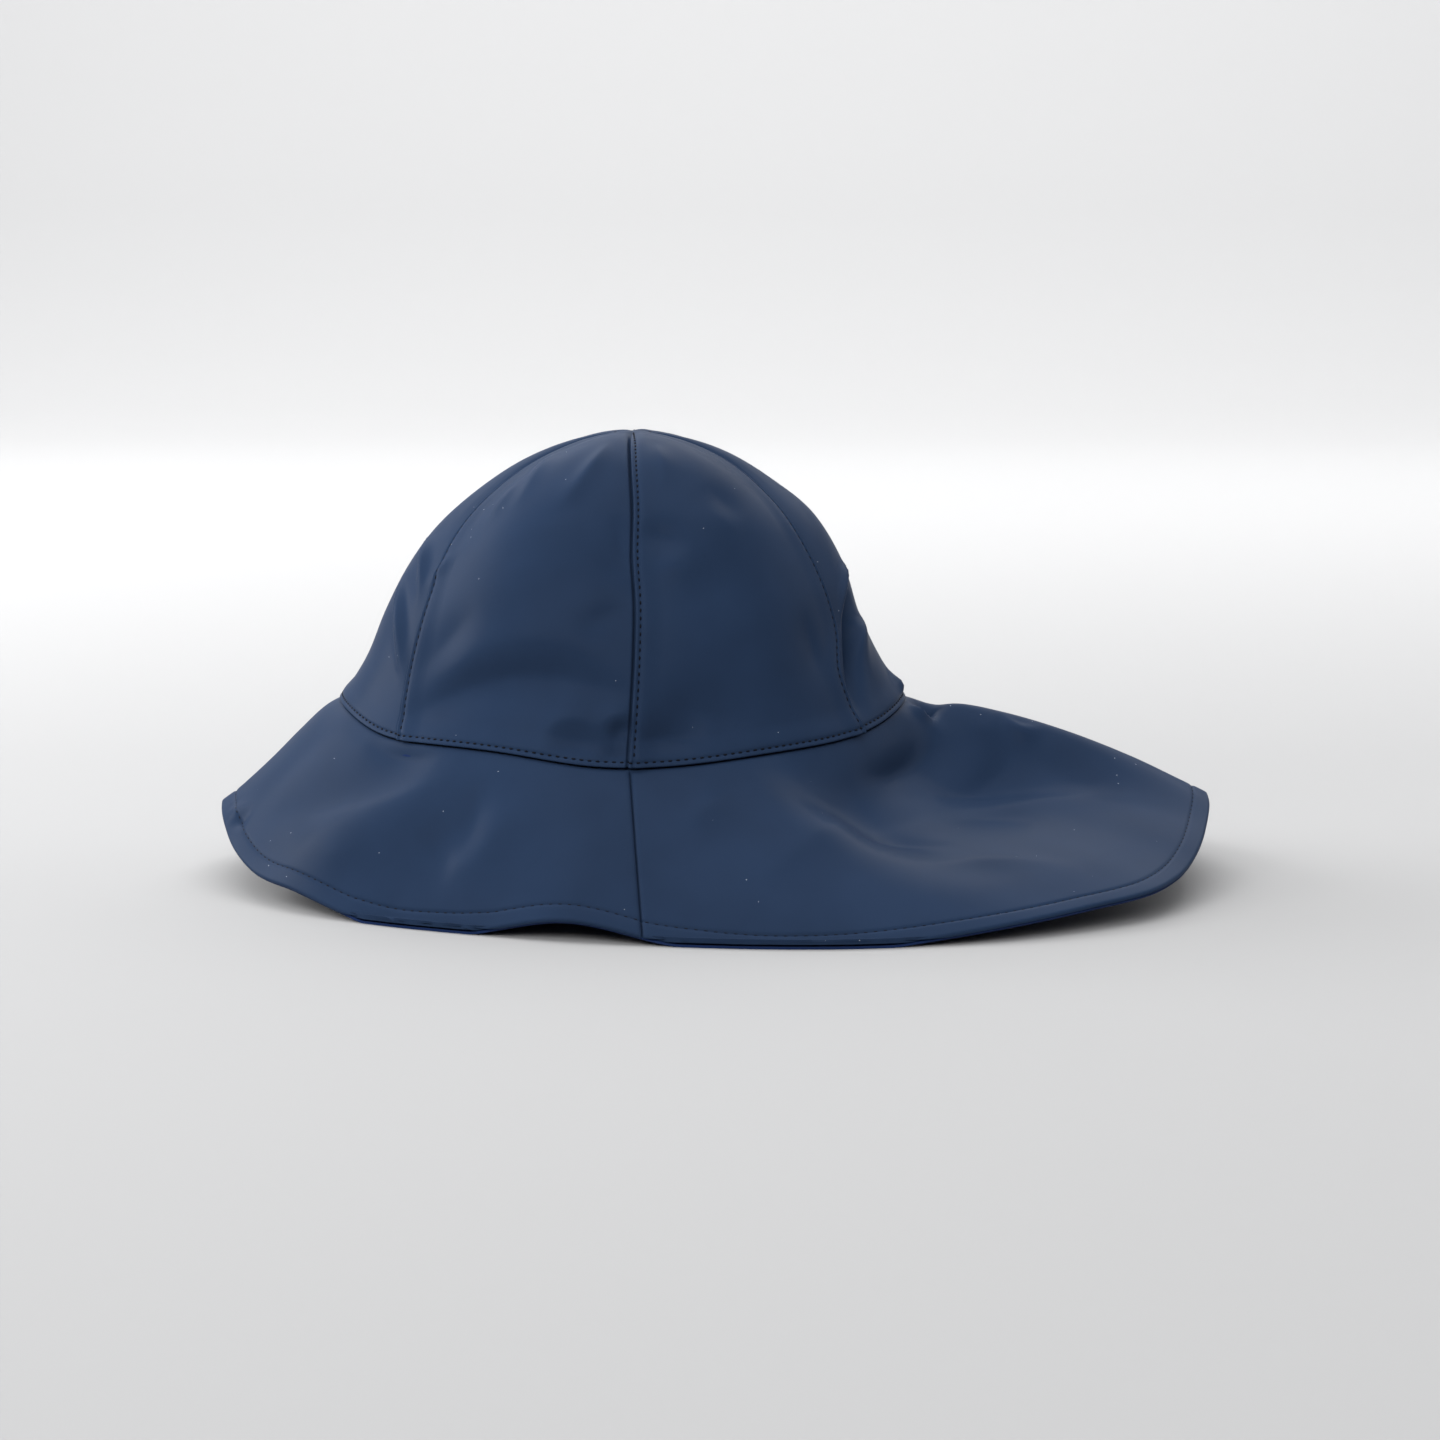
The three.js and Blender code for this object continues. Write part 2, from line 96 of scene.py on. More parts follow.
BRIM_EDGE = table(
    "round reach height",
    (0, 190.5, 24),
    (3, 190.5, 22.5),
    (8, 189.5, 18.5),
    (14, 189, 14),
    (18, 188.5, 11),
    (22, 188, 9),
    (28, 186, 7.3),
    (36, 178.5, 5.8),
    (45, 170, 3.4),
    (54, 160, 0.2),
    (62, 151.5, -2.8),
    (71, 142, -3.8),
    (80, 133.5, -2.4),
    (92, 125, -0.8),
    (106, 120, -1.2),
    (117, 119, -3.4),
    (126, 120, -4),
    (134, 121.5, 0),
    (145, 124, 4.6),
    (155, 127, 7),
    (163, 129, 12),
    (171, 130, 18),
    (180, 131, 21.5),
)
BRIM_BOW = table(
    "step front side back",
    (0.0, 0.0, 0.0, 0.0),
    (0.15, 1.8, 1.0, 3.4),
    (0.35, 1.2, 1.8, 5.6),
    (0.55, 0.0, 1.8, 5.8),
    (0.75, -0.6, 1.4, 4.2),
    (0.9, -0.6, 0.6, 1.8),
    (1.0, 0.0, 0.0, 0.0),
)
# How far the neck flap falls away on either side of its ridge
FLAP_FALL = table(
    "step fall",
    (0.0, 0.0),
    (0.03, 4.0),
    (0.06, 8.0),
    (0.1, 12.5),
    (0.16, 17.0),
    (0.22, 19.0),
    (0.35, 18.0),
    (0.6, 11.0),
    (0.8, 5.0),
    (1.0, 0.0),
)
FLAP_RUN = 24.0
FLAP_CREST = 6.0
FLAP_SIDES = (38, 64)
SEAM_WAVES = table(
    "round spread lift",
    (-114, 16, 1.8),
    (106, 16, 2),
    (-148, 15, -3),
    (150, 15, -2.5),
    (-32, 20, -3),
    (35, 20, -2.5),
)
EDGE_WAVES = table("round spread lift", (-97, 11, 5), (94, 13, 3.5))

# Folds: each runs from one place to another, bowed to the side where steps go up. Its lift fades
# out over one width on the side where steps go down, and over another where they go up.
FOLD_COLUMNS = "round_a step_a round_b step_b bow down up lift"
CROWN_FOLDS = table(
    FOLD_COLUMNS,
    # The crescent across the left front panel, and what lies above and below it
    (-150, 0.0, -80, 0.15, 14.5, 13, 6, -4.2),
    (-140.9, 0.144, -86.4, 0.262, 9.3, 8, 12, 1.3),
    (-109, 0.039, -91.3, 0.07, 7.2, 3.5, 8, 1.5),
    (-106.8, 0.0, -91.3, 0.035, 3.6, 6, 5, -1.6),
    (-95.4, 0.089, -86, 0.143, 0.2, 3, 4, 1.6),
    (-92.8, 0.064, -85.3, 0.102, 0.5, 3.5, 3, -2.6),
    (-95.5, 0.0, -85.4, 0.041, 0.4, 4, 3.5, -2.0),
    # The same panel's puckers and the bands under its top
    (-102.9, 0.3, -85.6, 0.385, 0.7, 8, 4, -1.5),
    (-144.9, 0.157, -128.2, 0.351, 1.4, 9, 7, -1.8),
    (-94, 0.611, -88, 0.429, 1.0, 3.5, 3, -1.3),
    (-116.7, 0.563, -108, 0.871, -2.8, 3.2, 3.6, 1.6),
    (-160.2, 0.819, -132, 0.583, 5.1, 3, 3.4, 1.2),
    (-146, 0.715, -140.1, 0.544, -1.0, 3, 3, 0.8),
    (-154.5, 0.351, -147.2, 0.496, 0.7, 2, 2.2, 0.9),
    # The front panel's ridges and the hollow between them
    (-178.5, 0.374, -147.7, 0.104, 5.0, 2, 3.2, 2.6),
    (-179.6, 0.481, -153.4, 0.305, 4.5, 1.8, 2.6, 2.2),
    (-180, 0.39, -145.5, 0.123, 7.5, 2.4, 2.4, -0.6),
    # The left back panel's tuck, shades and puckers
    (-87.3, 0.069, -68.5, 0.045, 0.9, 4, 8, -3.6),
    (-82.5, 0.158, -56, 0.04, 1.7, 9, 9, -2.2),
    (-86.9, 0.546, -67.5, 0.499, 2.8, 6, 4, -1.8),
    (-82, 0.455, -66.4, 0.423, 3.3, 5, 5, 1.0),
    (-64.4, 0.621, -49, 0.494, 0.2, 5, 5, 0.9),
    (-64.5, 0.504, -61.6, 0.279, -0.4, 9, 9, -1.4),
    (-71.9, 0.657, -67.9, 0.858, -0.2, 4, 4, 1.0),
    (-55.8, 0.678, -46.8, 0.548, 0.6, 6, 6, -0.9),
    (-37, 0.349, -36, 0.116, 0.8, 5, 3, -1.2),
    # The back panel's valley, its ridges and the bump at its foot
    (-30.5, 0.01, -7.4, 0.36, 0.5, 5, 3.0, -7.5),
    (-28, 0.01, 1.5, 0.24, 7.6, 6, 2.5, 3.6),
    (-20.6, 0.26, 0.6, 0.38, 2.9, 2, 2, 2.2),
    (-3.5, 0.065, -1.2, 0.013, 0, 4, 4, 2.2),
    # The side that the photograph hides
    (95, 0.14, 150, 0.08, -9.0, 14, 7, -2.6),
    (60, 0.16, 88, 0.1, -4.0, 9, 7, -2.4),
    (96, 0.5, 112, 0.4, 2.0, 7, 5, -1.4),
    (112, 0.58, 124, 0.86, 2.5, 4, 5, 1.2),
    (48, 0.5, 62, 0.3, 2.0, 8, 7, -1.3),
    (58, 0.64, 70, 0.82, 0.6, 4, 4, 1.0),
    (5, 0.3, 27, 0.05, 1.0, 4, 5, -2.6),
    (150, 0.12, 176, 0.34, -3.0, 3, 3, 1.4),
)
BRIM_FOLDS = table(
    FOLD_COLUMNS,
    # The front's valley, ridge, swells and hollows
    (-166.6, 0.71, -123.7, 0.072, 0.8, 10, 5, -3.2),
    (-161, 0.681, -121.8, 0.118, 2.4, 5, 14, 2.2),
    (-152, 0.11, -129, 0.115, -0.8, 6, 5, -1.3),
    (-119.7, 0.132, -117, 0.668, -1.3, 7, 6, -1.8),
    (-119, 0.782, -109.6, 0.26, 2.2, 7, 7, 1.0),
    (-127.7, 0.499, -117.1, 0.7, -1.4, 5, 4, -1.2),
    (-152.6, 0.737, -132, 0.601, 2.5, 6, 7, 1.3),
    # The neck flap's dent, the edge of its shaded part and its long swells
    (-38, 0.05, -2, 0.15, -1.0, 5.5, 7, -4.8),
    (-58, 0.22, -4, 0.36, -16, 8, 12, -2.3),
    (-21, 0.16, -1, 0.43, 0, 4.5, 9, -2.4),
    (-5.4, 0.213, -1.5, 0.32, 0.7, 4, 4, 1.0),
    (-7.4, 0.683, -5.6, 0.386, -0.9, 7, 7, -1.2),
    (-24.9, 0.198, -5.8, 0.938, -9.2, 8, 8, 1.3),
    (-28.4, 0.27, -19, 0.56, -7.0, 7, 8, -1.0),
    (-51.9, 0.406, -33.8, 0.495, -12.2, 7, 7, -1.3),
    (-47.5, 0.603, -29.1, 0.81, -10.1, 8, 8, 1.0),
    (-70.5, 0.661, -44.9, 0.18, 1.5, 6, 6, 1.6),
    (-79, 0.4, -66, 0.145, -1.2, 5, 5, 1.2),
    # The dimple where the flap leaves the crown, its rim, and the ridge along the flap's crest
    (-7, 0.07, 4, 0.07, 0, 5.5, 5.5, -7.5),
    (-3.4, 0.13, -1.4, 0.0, -5.2, 2.4, 1.3, 3.6),
    (-1, 0.31, -1, 0.46, 4.0, 1.5, 3, 2.0),
    # Puckers at the front tip
    (-169.9, 0.933, -165, 0.834, 0.2, 2, 2, -1.2),
    (-173.6, 0.911, -167, 0.791, 0.6, 2, 2, 0.9),
    # The side that the photograph hides
    (30, 0.2, 60, 0.3, 6.0, 8, 6, -2.6),
    (40, 0.62, 62, 0.42, 3.0, 8, 8, 1.6),
    (14, 0.4, 24, 0.85, 4.0, 6, 7, -1.4),
    (112, 0.7, 132, 0.14, 2.0, 9, 5, -2.2),
    (116, 0.78, 150, 0.3, 2.0, 6, 10, 1.6),
    (148, 0.5, 166, 0.85, 3.0, 6, 6, -1.5),
)


def panel_cut(node, first, last, *over):
    """Where a crown panel lies: the seams it starts and ends at, and at which of them it laps over."""
    return {"node": node, "first": first, "last": last, "over": over}


CROWN_PANELS = (
    panel_cut("crown_panel_back", ("back", LEFT), ("back", RIGHT), False, False),
    panel_cut("crown_panel_right_back", ("back", RIGHT), ("side", RIGHT), True, True),
    panel_cut("crown_panel_right_front", ("side", RIGHT), ("front", RIGHT), False, True),
    panel_cut("crown_panel_front", ("front", RIGHT), ("front", LEFT), False, False),
    panel_cut("crown_panel_left_front", ("front", LEFT), ("side", LEFT), True, False),
    panel_cut("crown_panel_left_back", ("side", LEFT), ("back", LEFT), True, True),
)
BRIM_SEAM_LEFT = {"at_crown": -87.3, "at_edge": -86.3}
BRIM_SEAM_RIGHT = {"at_crown": 87.3, "at_edge": 87.0}
BRIM_PIECES = (
    {"node": "neck_flap", "first": BRIM_SEAM_LEFT, "last": BRIM_SEAM_RIGHT, "turn": 0},
    {"node": "brim_front", "first": BRIM_SEAM_RIGHT, "last": BRIM_SEAM_LEFT, "turn": 360},
)

# The CAD model's gap between pieces, its brim's margin and thickness, and a panel's length
GAP = 0.3
SEAM_MARGIN = 2.6
BRIM_THICKNESS = 2.3
CROWN_SLANT = 130.0
# How sharp the folds' crests are: 2 is a soft swell, 1 a crease
FOLD_CREST = 1.6
# The steps over which the folds set in at the foot, and fade at the crown's top
CROWN_FOLDS_FROM = 0.03
CROWN_FOLDS_TO = 0.95
BRIM_FOLDS_FROM = 0.08
# The steps over which the relief turns from level or upright to the surface's own normal
CROWN_SETTLED = 0.1
BRIM_SETTLED = 0.12
# How a panel's puff rises from its foot and stays full up to its top
PUFF_SKEW = 1.6
PUFF_FULLNESS = 0.8


class HatSizes(bpy.types.PropertyGroup):
    """The hat's driving sizes, in millimetres."""

    head_half_length: bpy.props.FloatProperty(
        name="Head half length", description="From the crown's middle to its foot at the back",
        default=91.0)
    head_half_width: bpy.props.FloatProperty(
        name="Head half width", description="From the crown's middle to its foot at the side",
        default=80.0)
    seam_height_ends: bpy.props.FloatProperty(
        name="Seam height, ends", description="Height of the crown's foot in front and at the back",
        default=58.5)
    seam_height_sides: bpy.props.FloatProperty(
        name="Seam height, sides", description="Height of the crown's foot at the sides", default=46.5)
    crown_height: bpy.props.FloatProperty(
        name="Crown height", description="Height of the crown's top above the floor", default=144.5)
    apex_back: bpy.props.FloatProperty(
        name="Top set back", description="How far the crown's top lies behind its middle", default=3.5)
    panel_puff: bpy.props.FloatProperty(
        name="Panel puff", description="How far a crown panel bows out between its seams", default=2.6)
    crown_cloth: bpy.props.FloatProperty(
        name="Crown cloth", description="Thickness of the crown's cloth", default=0.8)
    brim_cloth: bpy.props.FloatProperty(
        name="Brim cloth", description="Thickness of the brim's outer cloth and of its facing", default=0.8)


class SeamSizes(bpy.types.PropertyGroup):
    """How the hat is sewn, in millimetres."""

    lap: bpy.props.FloatProperty(
        name="Lap", description="How far a lapped edge stands proud", default=0.9)
    lap_reach: bpy.props.FloatProperty(
        name="Lap reach", description="How far a lapped edge reaches past its seam", default=0.5)
    tuck: bpy.props.FloatProperty(
        name="Tuck", description="How far an under edge runs on below the lapped one", default=2.6)
    stitch_in: bpy.props.FloatProperty(
        name="Topstitch in", description="From a lapped edge's seam to its topstitching", default=1.0)
    foot_stitch_in: bpy.props.FloatProperty(
        name="Foot topstitch up", description="From the crown's foot up to its topstitching", default=1.6)
    hem_stitch_in: bpy.props.FloatProperty(
        name="Hem stitch in", description="From the brim's edge to its topstitching", default=6.0)
    groove: bpy.props.FloatProperty(
        name="Groove", description="How far the thread pulls the cloth in", default=0.36)
    pitch: bpy.props.FloatProperty(
        name="Stitch pitch", description="From one topstitch to the next", default=2.5)
    hem_pitch: bpy.props.FloatProperty(
        name="Hem stitch pitch", description="From one hem stitch to the next", default=3.0)
    thread: bpy.props.FloatProperty(
        name="Thread radius", description="Half the thread's thickness", default=0.32)


class ClothLook(bpy.types.PropertyGroup):
    """The coated cloth's colours and gloss."""

    outer: bpy.props.FloatVectorProperty(
        name="Outer cloth", description="Colour of the crown and brim", subtype="COLOR",
        size=3, min=0, max=1, default=(0.0175, 0.033, 0.07))
    facing: bpy.props.FloatVectorProperty(
        name="Facing", description="Colour of the brim's facing", subtype="COLOR",
        size=3, min=0, max=1, default=(0.013, 0.028, 0.09))
    thread: bpy.props.FloatVectorProperty(
        name="Thread", description="Colour of the sewing thread", subtype="COLOR",
        size=3, min=0, max=1, default=(0.003, 0.0045, 0.01))
    roughness: bpy.props.FloatProperty(
        name="Roughness", description="Roughness of the coating", default=0.5, min=0, max=1)


def sizes():
    return bpy.context.scene.hat_sizes


def seams():
    return bpy.context.scene.hat_seams


def look():
    return bpy.context.scene.hat_look


# Curves and smooth steps


def curve_through(rows, key, name, at):
    """A smooth curve through one column of a table, read at values of its key column."""
    keys, values = rows[key], rows[name]
    slopes = np.gradient(values, keys)
    slopes[1:-1] = (values[2:] - values[:-2]) / (keys[2:] - keys[:-2])
    index = np.clip(np.searchsorted(keys, at, side="left") - 1, 0, len(keys) - 2)
    width = keys[index + 1] - keys[index]
    t = (at - keys[index]) / width
    rise = values[index + 1] - values[index]
    leave = slopes[index] * width
    arrive = slopes[index + 1] * width
    square, cube = 3 * rise - 2 * leave - arrive, leave + arrive - 2 * rise
    return values[index] + t * (leave + t * (square + t * cube))


def smooth(low, high, at):
    """A soft step: 0 below low, 1 above high."""
    t = np.clip((at - low) / (high - low), 0, 1)
    return t * t * (3 - 2 * t)


def dip(at, middle, width):
    """A soft bell, 1 at its middle."""
    return np.exp(-(((at - middle) / width) ** 2))


def rolled(distance, radius):
    """How far a rounded edge falls away, at a distance from its tip."""
    t = np.clip(1 - distance / radius, 0, 1)
    return radius * (1 - np.sqrt(1 - t * t))


def wrapped(degrees):
    """An angle between -180 and 180."""
    return (degrees + 180) % 360 - 180


def shares(round_):
    """The shares of the front, side and back columns of a table at an angle round the hat."""
    along = np.cos(np.radians(round_))
    return np.where(along < 0, along**2, 0), 1 - along**2, np.where(along > 0, along**2, 0)


def blended(rows, names, round_, step):
    """The front, side and back columns of a table, blended at an angle round the hat."""
    parts = [share * curve_through(rows, "step", name, step) for share, name in zip(shares(round_), names)]
    return parts[0] + parts[1] + parts[2]


def waves(rows, round_):
    lifts = zip(rows["round"], rows["spread"], rows["lift"])
    return sum(lift * dip(wrapped(round_ - middle), 0, spread) for middle, spread, lift in lifts)


def fold_lift(rows, round_, step, radius_at, slant_at):
    """What the folds of a table lift at points of the surface that radius_at and slant_at measure."""
    lift = np.zeros(np.broadcast(round_, step).shape)
    for round_a, step_a, round_b, step_b, bow, down, up, rise in zip(*rows.values()):
        round_middle, step_middle = (round_a + round_b) / 2, (step_a + step_b) / 2
        per_radian, per_step = radius_at(round_middle, step_middle), slant_at(round_middle)
        reach = math.radians(round_b - round_a) * per_radian, (step_b - step_a) * per_step
        length = math.hypot(*reach)
        ahead = reach[0] / length, reach[1] / length
        across = np.radians(wrapped(round_ - round_middle)) * per_radian
        rising = (step - step_middle) * per_step
        along = 2 * (across * ahead[0] + rising * ahead[1]) / length
        fade = np.clip(1 - along**2, 0, 1)
        side = rising * ahead[0] - across * ahead[1] - bow * fade
        width = np.where(side > 0, up, down)
        lift += rise * fade**2 * np.exp(-(np.abs(side / width) ** FOLD_CREST))
    return lift


# The hat's surfaces


def polar(round_, radius, height, back=0.0):
    angle = np.radians(round_)
    return np.stack(np.broadcast_arrays(back + radius * np.cos(angle), radius * np.sin(angle), height), -1)


def unit(vectors):
    return vectors / np.maximum(np.linalg.norm(vectors, axis=-1, keepdims=True), 1e-9)


def normal_of(surface, round_, step):
    """The normals of a surface given as a function of round and step, outside where steps go up."""
    turn, stride = 0.5, 0.004
    middle = np.clip(step, stride, 1 - stride)
    along = surface(round_ + turn, middle) - surface(round_ - turn, middle)
    up = surface(round_, middle + stride) - surface(round_, middle - stride)
    return unit(np.cross(along, up))


def seam_radius(round_):
    """The oval of the crown's foot."""
    length, width = sizes().head_half_length, sizes().head_half_width
    angle = np.radians(round_)
    return length * width / np.hypot(width * np.cos(angle), length * np.sin(angle))


def seam_height(round_):
    ends, sides = sizes().seam_height_ends, sizes().seam_height_sides
    return ends - (ends - sides) * shares(round_)[1] + waves(SEAM_WAVES, round_)


def crown_radius(round_, step):
    return seam_radius(round_) * blended(CROWN_PROFILE, ("front_out", "side_out", "back_out"), round_, step)


def crown_form(round_, step):
    """The plain crown, before its puff and its folds."""
    up = blended(CROWN_PROFILE, ("front_up", "side_up", "back_up"), round_, step)
    foot = seam_height(round_)
    height = foot + (sizes().crown_height - foot) * up
    return polar(round_, crown_radius(round_, step), height, sizes().apex_back * step**2)


def crown_surface(round_, step, way, proud):
    """Points of the crown: way is 0 and 1 at a panel's seams, proud is what its sewing adds."""
    swell = np.sin(np.pi * np.clip(step, 0, 1) ** PUFF_SKEW) ** PUFF_FULLNESS
    puff = sizes().panel_puff * (1 - (2 * np.clip(way, 0, 1) - 1) ** 2) * swell
    folds = fold_lift(CROWN_FOLDS, round_, step, crown_radius, lambda _: CROWN_SLANT)
    folds *= smooth(0, CROWN_FOLDS_FROM, step) * (1 - smooth(CROWN_FOLDS_TO, 1, step))
    settled = smooth(0, CROWN_SETTLED, step)
    direction = unit(polar(round_, 1, 0) * (1 - settled)[..., None]
                     + normal_of(crown_form, round_, step) * settled[..., None])
    return crown_form(round_, step) + direction * (puff + folds + proud)[..., None], direction


def brim_width(round_):
    return curve_through(BRIM_EDGE, "round", "reach", np.abs(wrapped(round_))) - seam_radius(round_)


def brim_radius(round_, step):
    return seam_radius(round_) + brim_width(round_) * step


def flap_fall(round_, step):
    """How far the neck flap lies below the ridge down its middle."""
    aside = np.abs(np.sin(np.radians(round_))) * brim_radius(round_, step)
    run = np.clip((np.hypot(aside, FLAP_CREST) - FLAP_CREST) / FLAP_RUN, 0, 1)
    fade = 1 - smooth(*FLAP_SIDES, np.abs(wrapped(round_)))
    return curve_through(FLAP_FALL, "step", "fall", step) * np.sin(np.pi / 2 * run) * fade


def brim_form(round_, step):
    """The plain brim, before its folds."""
    start = seam_height(round_) - GAP
    edge = curve_through(BRIM_EDGE, "round", "height", np.abs(wrapped(round_))) + waves(EDGE_WAVES, round_)
    bow = blended(BRIM_BOW, ("front", "side", "back"), round_, step) - flap_fall(round_, step)
    return polar(round_, brim_radius(round_, step), start + (edge + BRIM_THICKNESS - start) * step + bow)


def brim_surface(round_, step, depth, proud):
    """Points of the brim at a depth in it. Steps under 0 are the margin below the crown's foot."""
    out = np.clip(step, 0, 1)
    settled = smooth(0, BRIM_SETTLED, out)
    folds = fold_lift(BRIM_FOLDS, round_, out, brim_radius, brim_width)
    folds *= smooth(0, BRIM_FOLDS_FROM, out)
    normal = -normal_of(brim_form, round_, out)
    direction = unit(np.array((0, 0, 1.0)) * (1 - settled)[..., None] + normal * settled[..., None])
    point = brim_form(round_, out) + direction * (folds - depth + proud)[..., None]
    point[..., 2] = np.maximum(point[..., 2], BRIM_THICKNESS - depth)
    level = seam_height(round_) - GAP - depth + proud
    margin = polar(round_, seam_radius(round_) + GAP + SEAM_MARGIN * step, level)
    return np.where((step <= 0)[..., None], margin, point), direction


def crown_middle():
    """The place of the crown's middle in the frame, in metres, from the solids around it."""
    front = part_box("crown_panel_front")[0]
    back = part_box("crown_panel_back")[1]
    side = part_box("neck_flap")
    return Vector(((front.x + back.x) / 2, (side[0].y + side[1].y) / 2, 0))


def placed(points):
    """Points in millimetres about the crown's middle, as places in the frame in metres."""
    return np.asarray(points) * MM + np.array(crown_middle())


# Meshes

SMOOTH_ANGLE = math.radians(50)


def deselect_all():
    bpy.ops.object.select_all(action="DESELECT")


def select_only(obj):
    deselect_all()
    obj.select_set(True)
    bpy.context.view_layer.objects.active = obj


def cloth_grid(name, points):
    """A grid primitive whose vertices are moved to rows and columns of points, in millimetres."""
    rows, columns = points.shape[:2]
    deselect_all()
    bpy.ops.mesh.primitive_grid_add(x_subdivisions=columns - 1, y_subdivisions=rows - 1, size=1)
    piece = bpy.context.object
    piece.name = name
    piece.data.name = name
    corners = np.zeros(len(piece.data.vertices) * 3)
    piece.data.vertices.foreach_get("co", corners)
    corners = corners.reshape(-1, 3)
    column = np.rint((corners[:, 0] + 0.5) * (columns - 1)).astype(int)
    row = np.rint((corners[:, 1] + 0.5) * (rows - 1)).astype(int)
    piece.data.vertices.foreach_set("co", placed(points[row, column]).ravel())
    piece.data.update()
    return piece


def measured(piece, lengths):
    """Gives a grid a UV map in metres: lengths holds how far along and up each grid point lies, in mm."""
    uv = piece.data.uv_layers[0]
    uv.name = "cloth"
    rows, columns = lengths.shape[:2]
    places = np.zeros(len(uv.data) * 2)
    uv.data.foreach_get("uv", places)
    places = places.reshape(-1, 2)
    column = np.rint(places[:, 0] * (columns - 1)).astype(int)
    row = np.rint(places[:, 1] * (rows - 1)).astype(int)
    uv.data.foreach_set("uv", (lengths[row, column] * MM).ravel())


def weld(piece, distance):
    """Merges a piece's vertices that lie closer together than a distance in millimetres."""
    select_only(piece)
    bpy.ops.object.mode_set(mode="EDIT")
    bpy.ops.mesh.select_all(action="SELECT")
    bpy.ops.mesh.remove_doubles(threshold=distance * MM)
    bpy.ops.object.mode_set(mode="OBJECT")


def thickened(piece, thickness):
    """Gives a sheet its wall and rim, on the side away from its normals, and shades it smooth by angle."""
    select_only(piece)
    wall = piece.modifiers.new("wall", "SOLIDIFY")
    wall.thickness = thickness * MM
    wall.offset = -1
    wall.use_even_offset = False
    wall.use_rim = True
    bpy.ops.object.modifier_apply(modifier=wall.name)
    bpy.ops.object.shade_smooth_by_angle(angle=SMOOTH_ANGLE)


def finished(piece, node, material):
    """Gives a piece its material and slot, and lets it replace its CAD node where it has one."""
    piece.data.materials.clear()
    piece.data.materials.append(material)
    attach(piece, "root")
    if node:
        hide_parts(node)


# The crown

# Where a panel's grid is close: in from a lapped edge and an under edge, up from the foot, and at
# the top
LAPPED_COLUMNS = (0.0, 0.1, 0.25, 0.45, 0.7, 1.0, 1.3, 1.5, 1.7, 2.0, 2.5, 3.6, 5.4, 8.0)
UNDER_COLUMNS = (0.0, 0.8, 1.8, 2.6, 3.0, 3.25, 3.45, 3.65, 3.85, 4.05, 4.3, 4.7, 5.6, 7.6)
FOOT_ROWS = (0.0, 0.1, 0.25, 0.45, 0.7, 1.0, 1.3, 1.6, 1.9, 2.3, 2.9, 3.9, 5.4, 7.4)
CROWN_SPACING = 1.25
TOP_STEPS = (0.972, 0.982, 0.991, 1.0)
# Vertices nearer than this become one, where the panels end in a point
TOP_WELD = 0.02
# A panel narrower than this, towards the top, has narrower laps
FULL_LAP_WIDTH = 26.0
# Where an edge's relief fades into the panel
LAP_FADE = (2.4, 7.0)
UNDER_FADE = (0.7, 1.7)
FOOT_FADE = (2.6, 8.0)
UNDER_DROP = 1.2
FOOT_LAP = 0.9
# The small rib along a lapped edge, and how its edges are rounded
RIB_HEIGHT = 0.2
RIB_WIDTH = 0.5
LAP_ROLL = 0.45
FOOT_ROLL = 0.5
GROOVE_WIDTH = 0.45


def seam_angle(seam, step):
    name, side = seam
    return side * curve_through(CROWN_SEAMS, "step", name, step)


def crown_steps():
    foot = np.array(FOOT_ROWS) / CROWN_SLANT
    count = int((TOP_STEPS[0] - foot[-1]) * CROWN_SLANT / CROWN_SPACING)
    return np.concatenate([foot, np.linspace(foot[-1], TOP_STEPS[0], count)[1:], TOP_STEPS[1:]])


def panel_span(panel, step):
    """The angles of a panel's two seams and its width in millimetres, at each step."""
    start = seam_angle(panel["first"], step)
    end = seam_angle(panel["last"], step)
    end = np.where(end < start, end + 360, end)
    middle = (start + end) / 2
    return start, end, np.radians(end - start) * crown_radius(middle, step)


def over_lap(distance):
    """How proud a lapped edge stands, at distances in from its seam."""
    sewing = seams()
    raised = sewing.lap * (1 - smooth(*LAP_FADE, distance)) + RIB_HEIGHT * dip(distance, 0, RIB_WIDTH)
    nose = rolled(distance + sewing.lap_reach, LAP_ROLL)
    return raised - nose - sewing.groove * dip(distance, sewing.stitch_in, GROOVE_WIDTH)


def under_lap(distance):
    """How far an under edge lies below its neighbour's lapped one."""
    return -UNDER_DROP * (1 - smooth(*UNDER_FADE, distance))


def foot_lap(up):
    """How proud the crown's foot stands over the brim, at heights up from it."""
    sewing = seams()
    raised = FOOT_LAP * (1 - smooth(*FOOT_FADE, up))
    return raised - rolled(up, FOOT_ROLL) - sewing.groove * dip(up, sewing.foot_stitch_in, GROOVE_WIDTH)


def panel_proud(panel, distance_first, distance_last, up, room):
    """What the sewing adds to a panel, from distances to its seams and foot; room fades it at the top."""
    sides = zip(panel["over"], (distance_first, distance_last))
    edges = sum((over_lap if over else under_lap)(distance) for over, distance in sides)
    return edges * room + foot_lap(up)


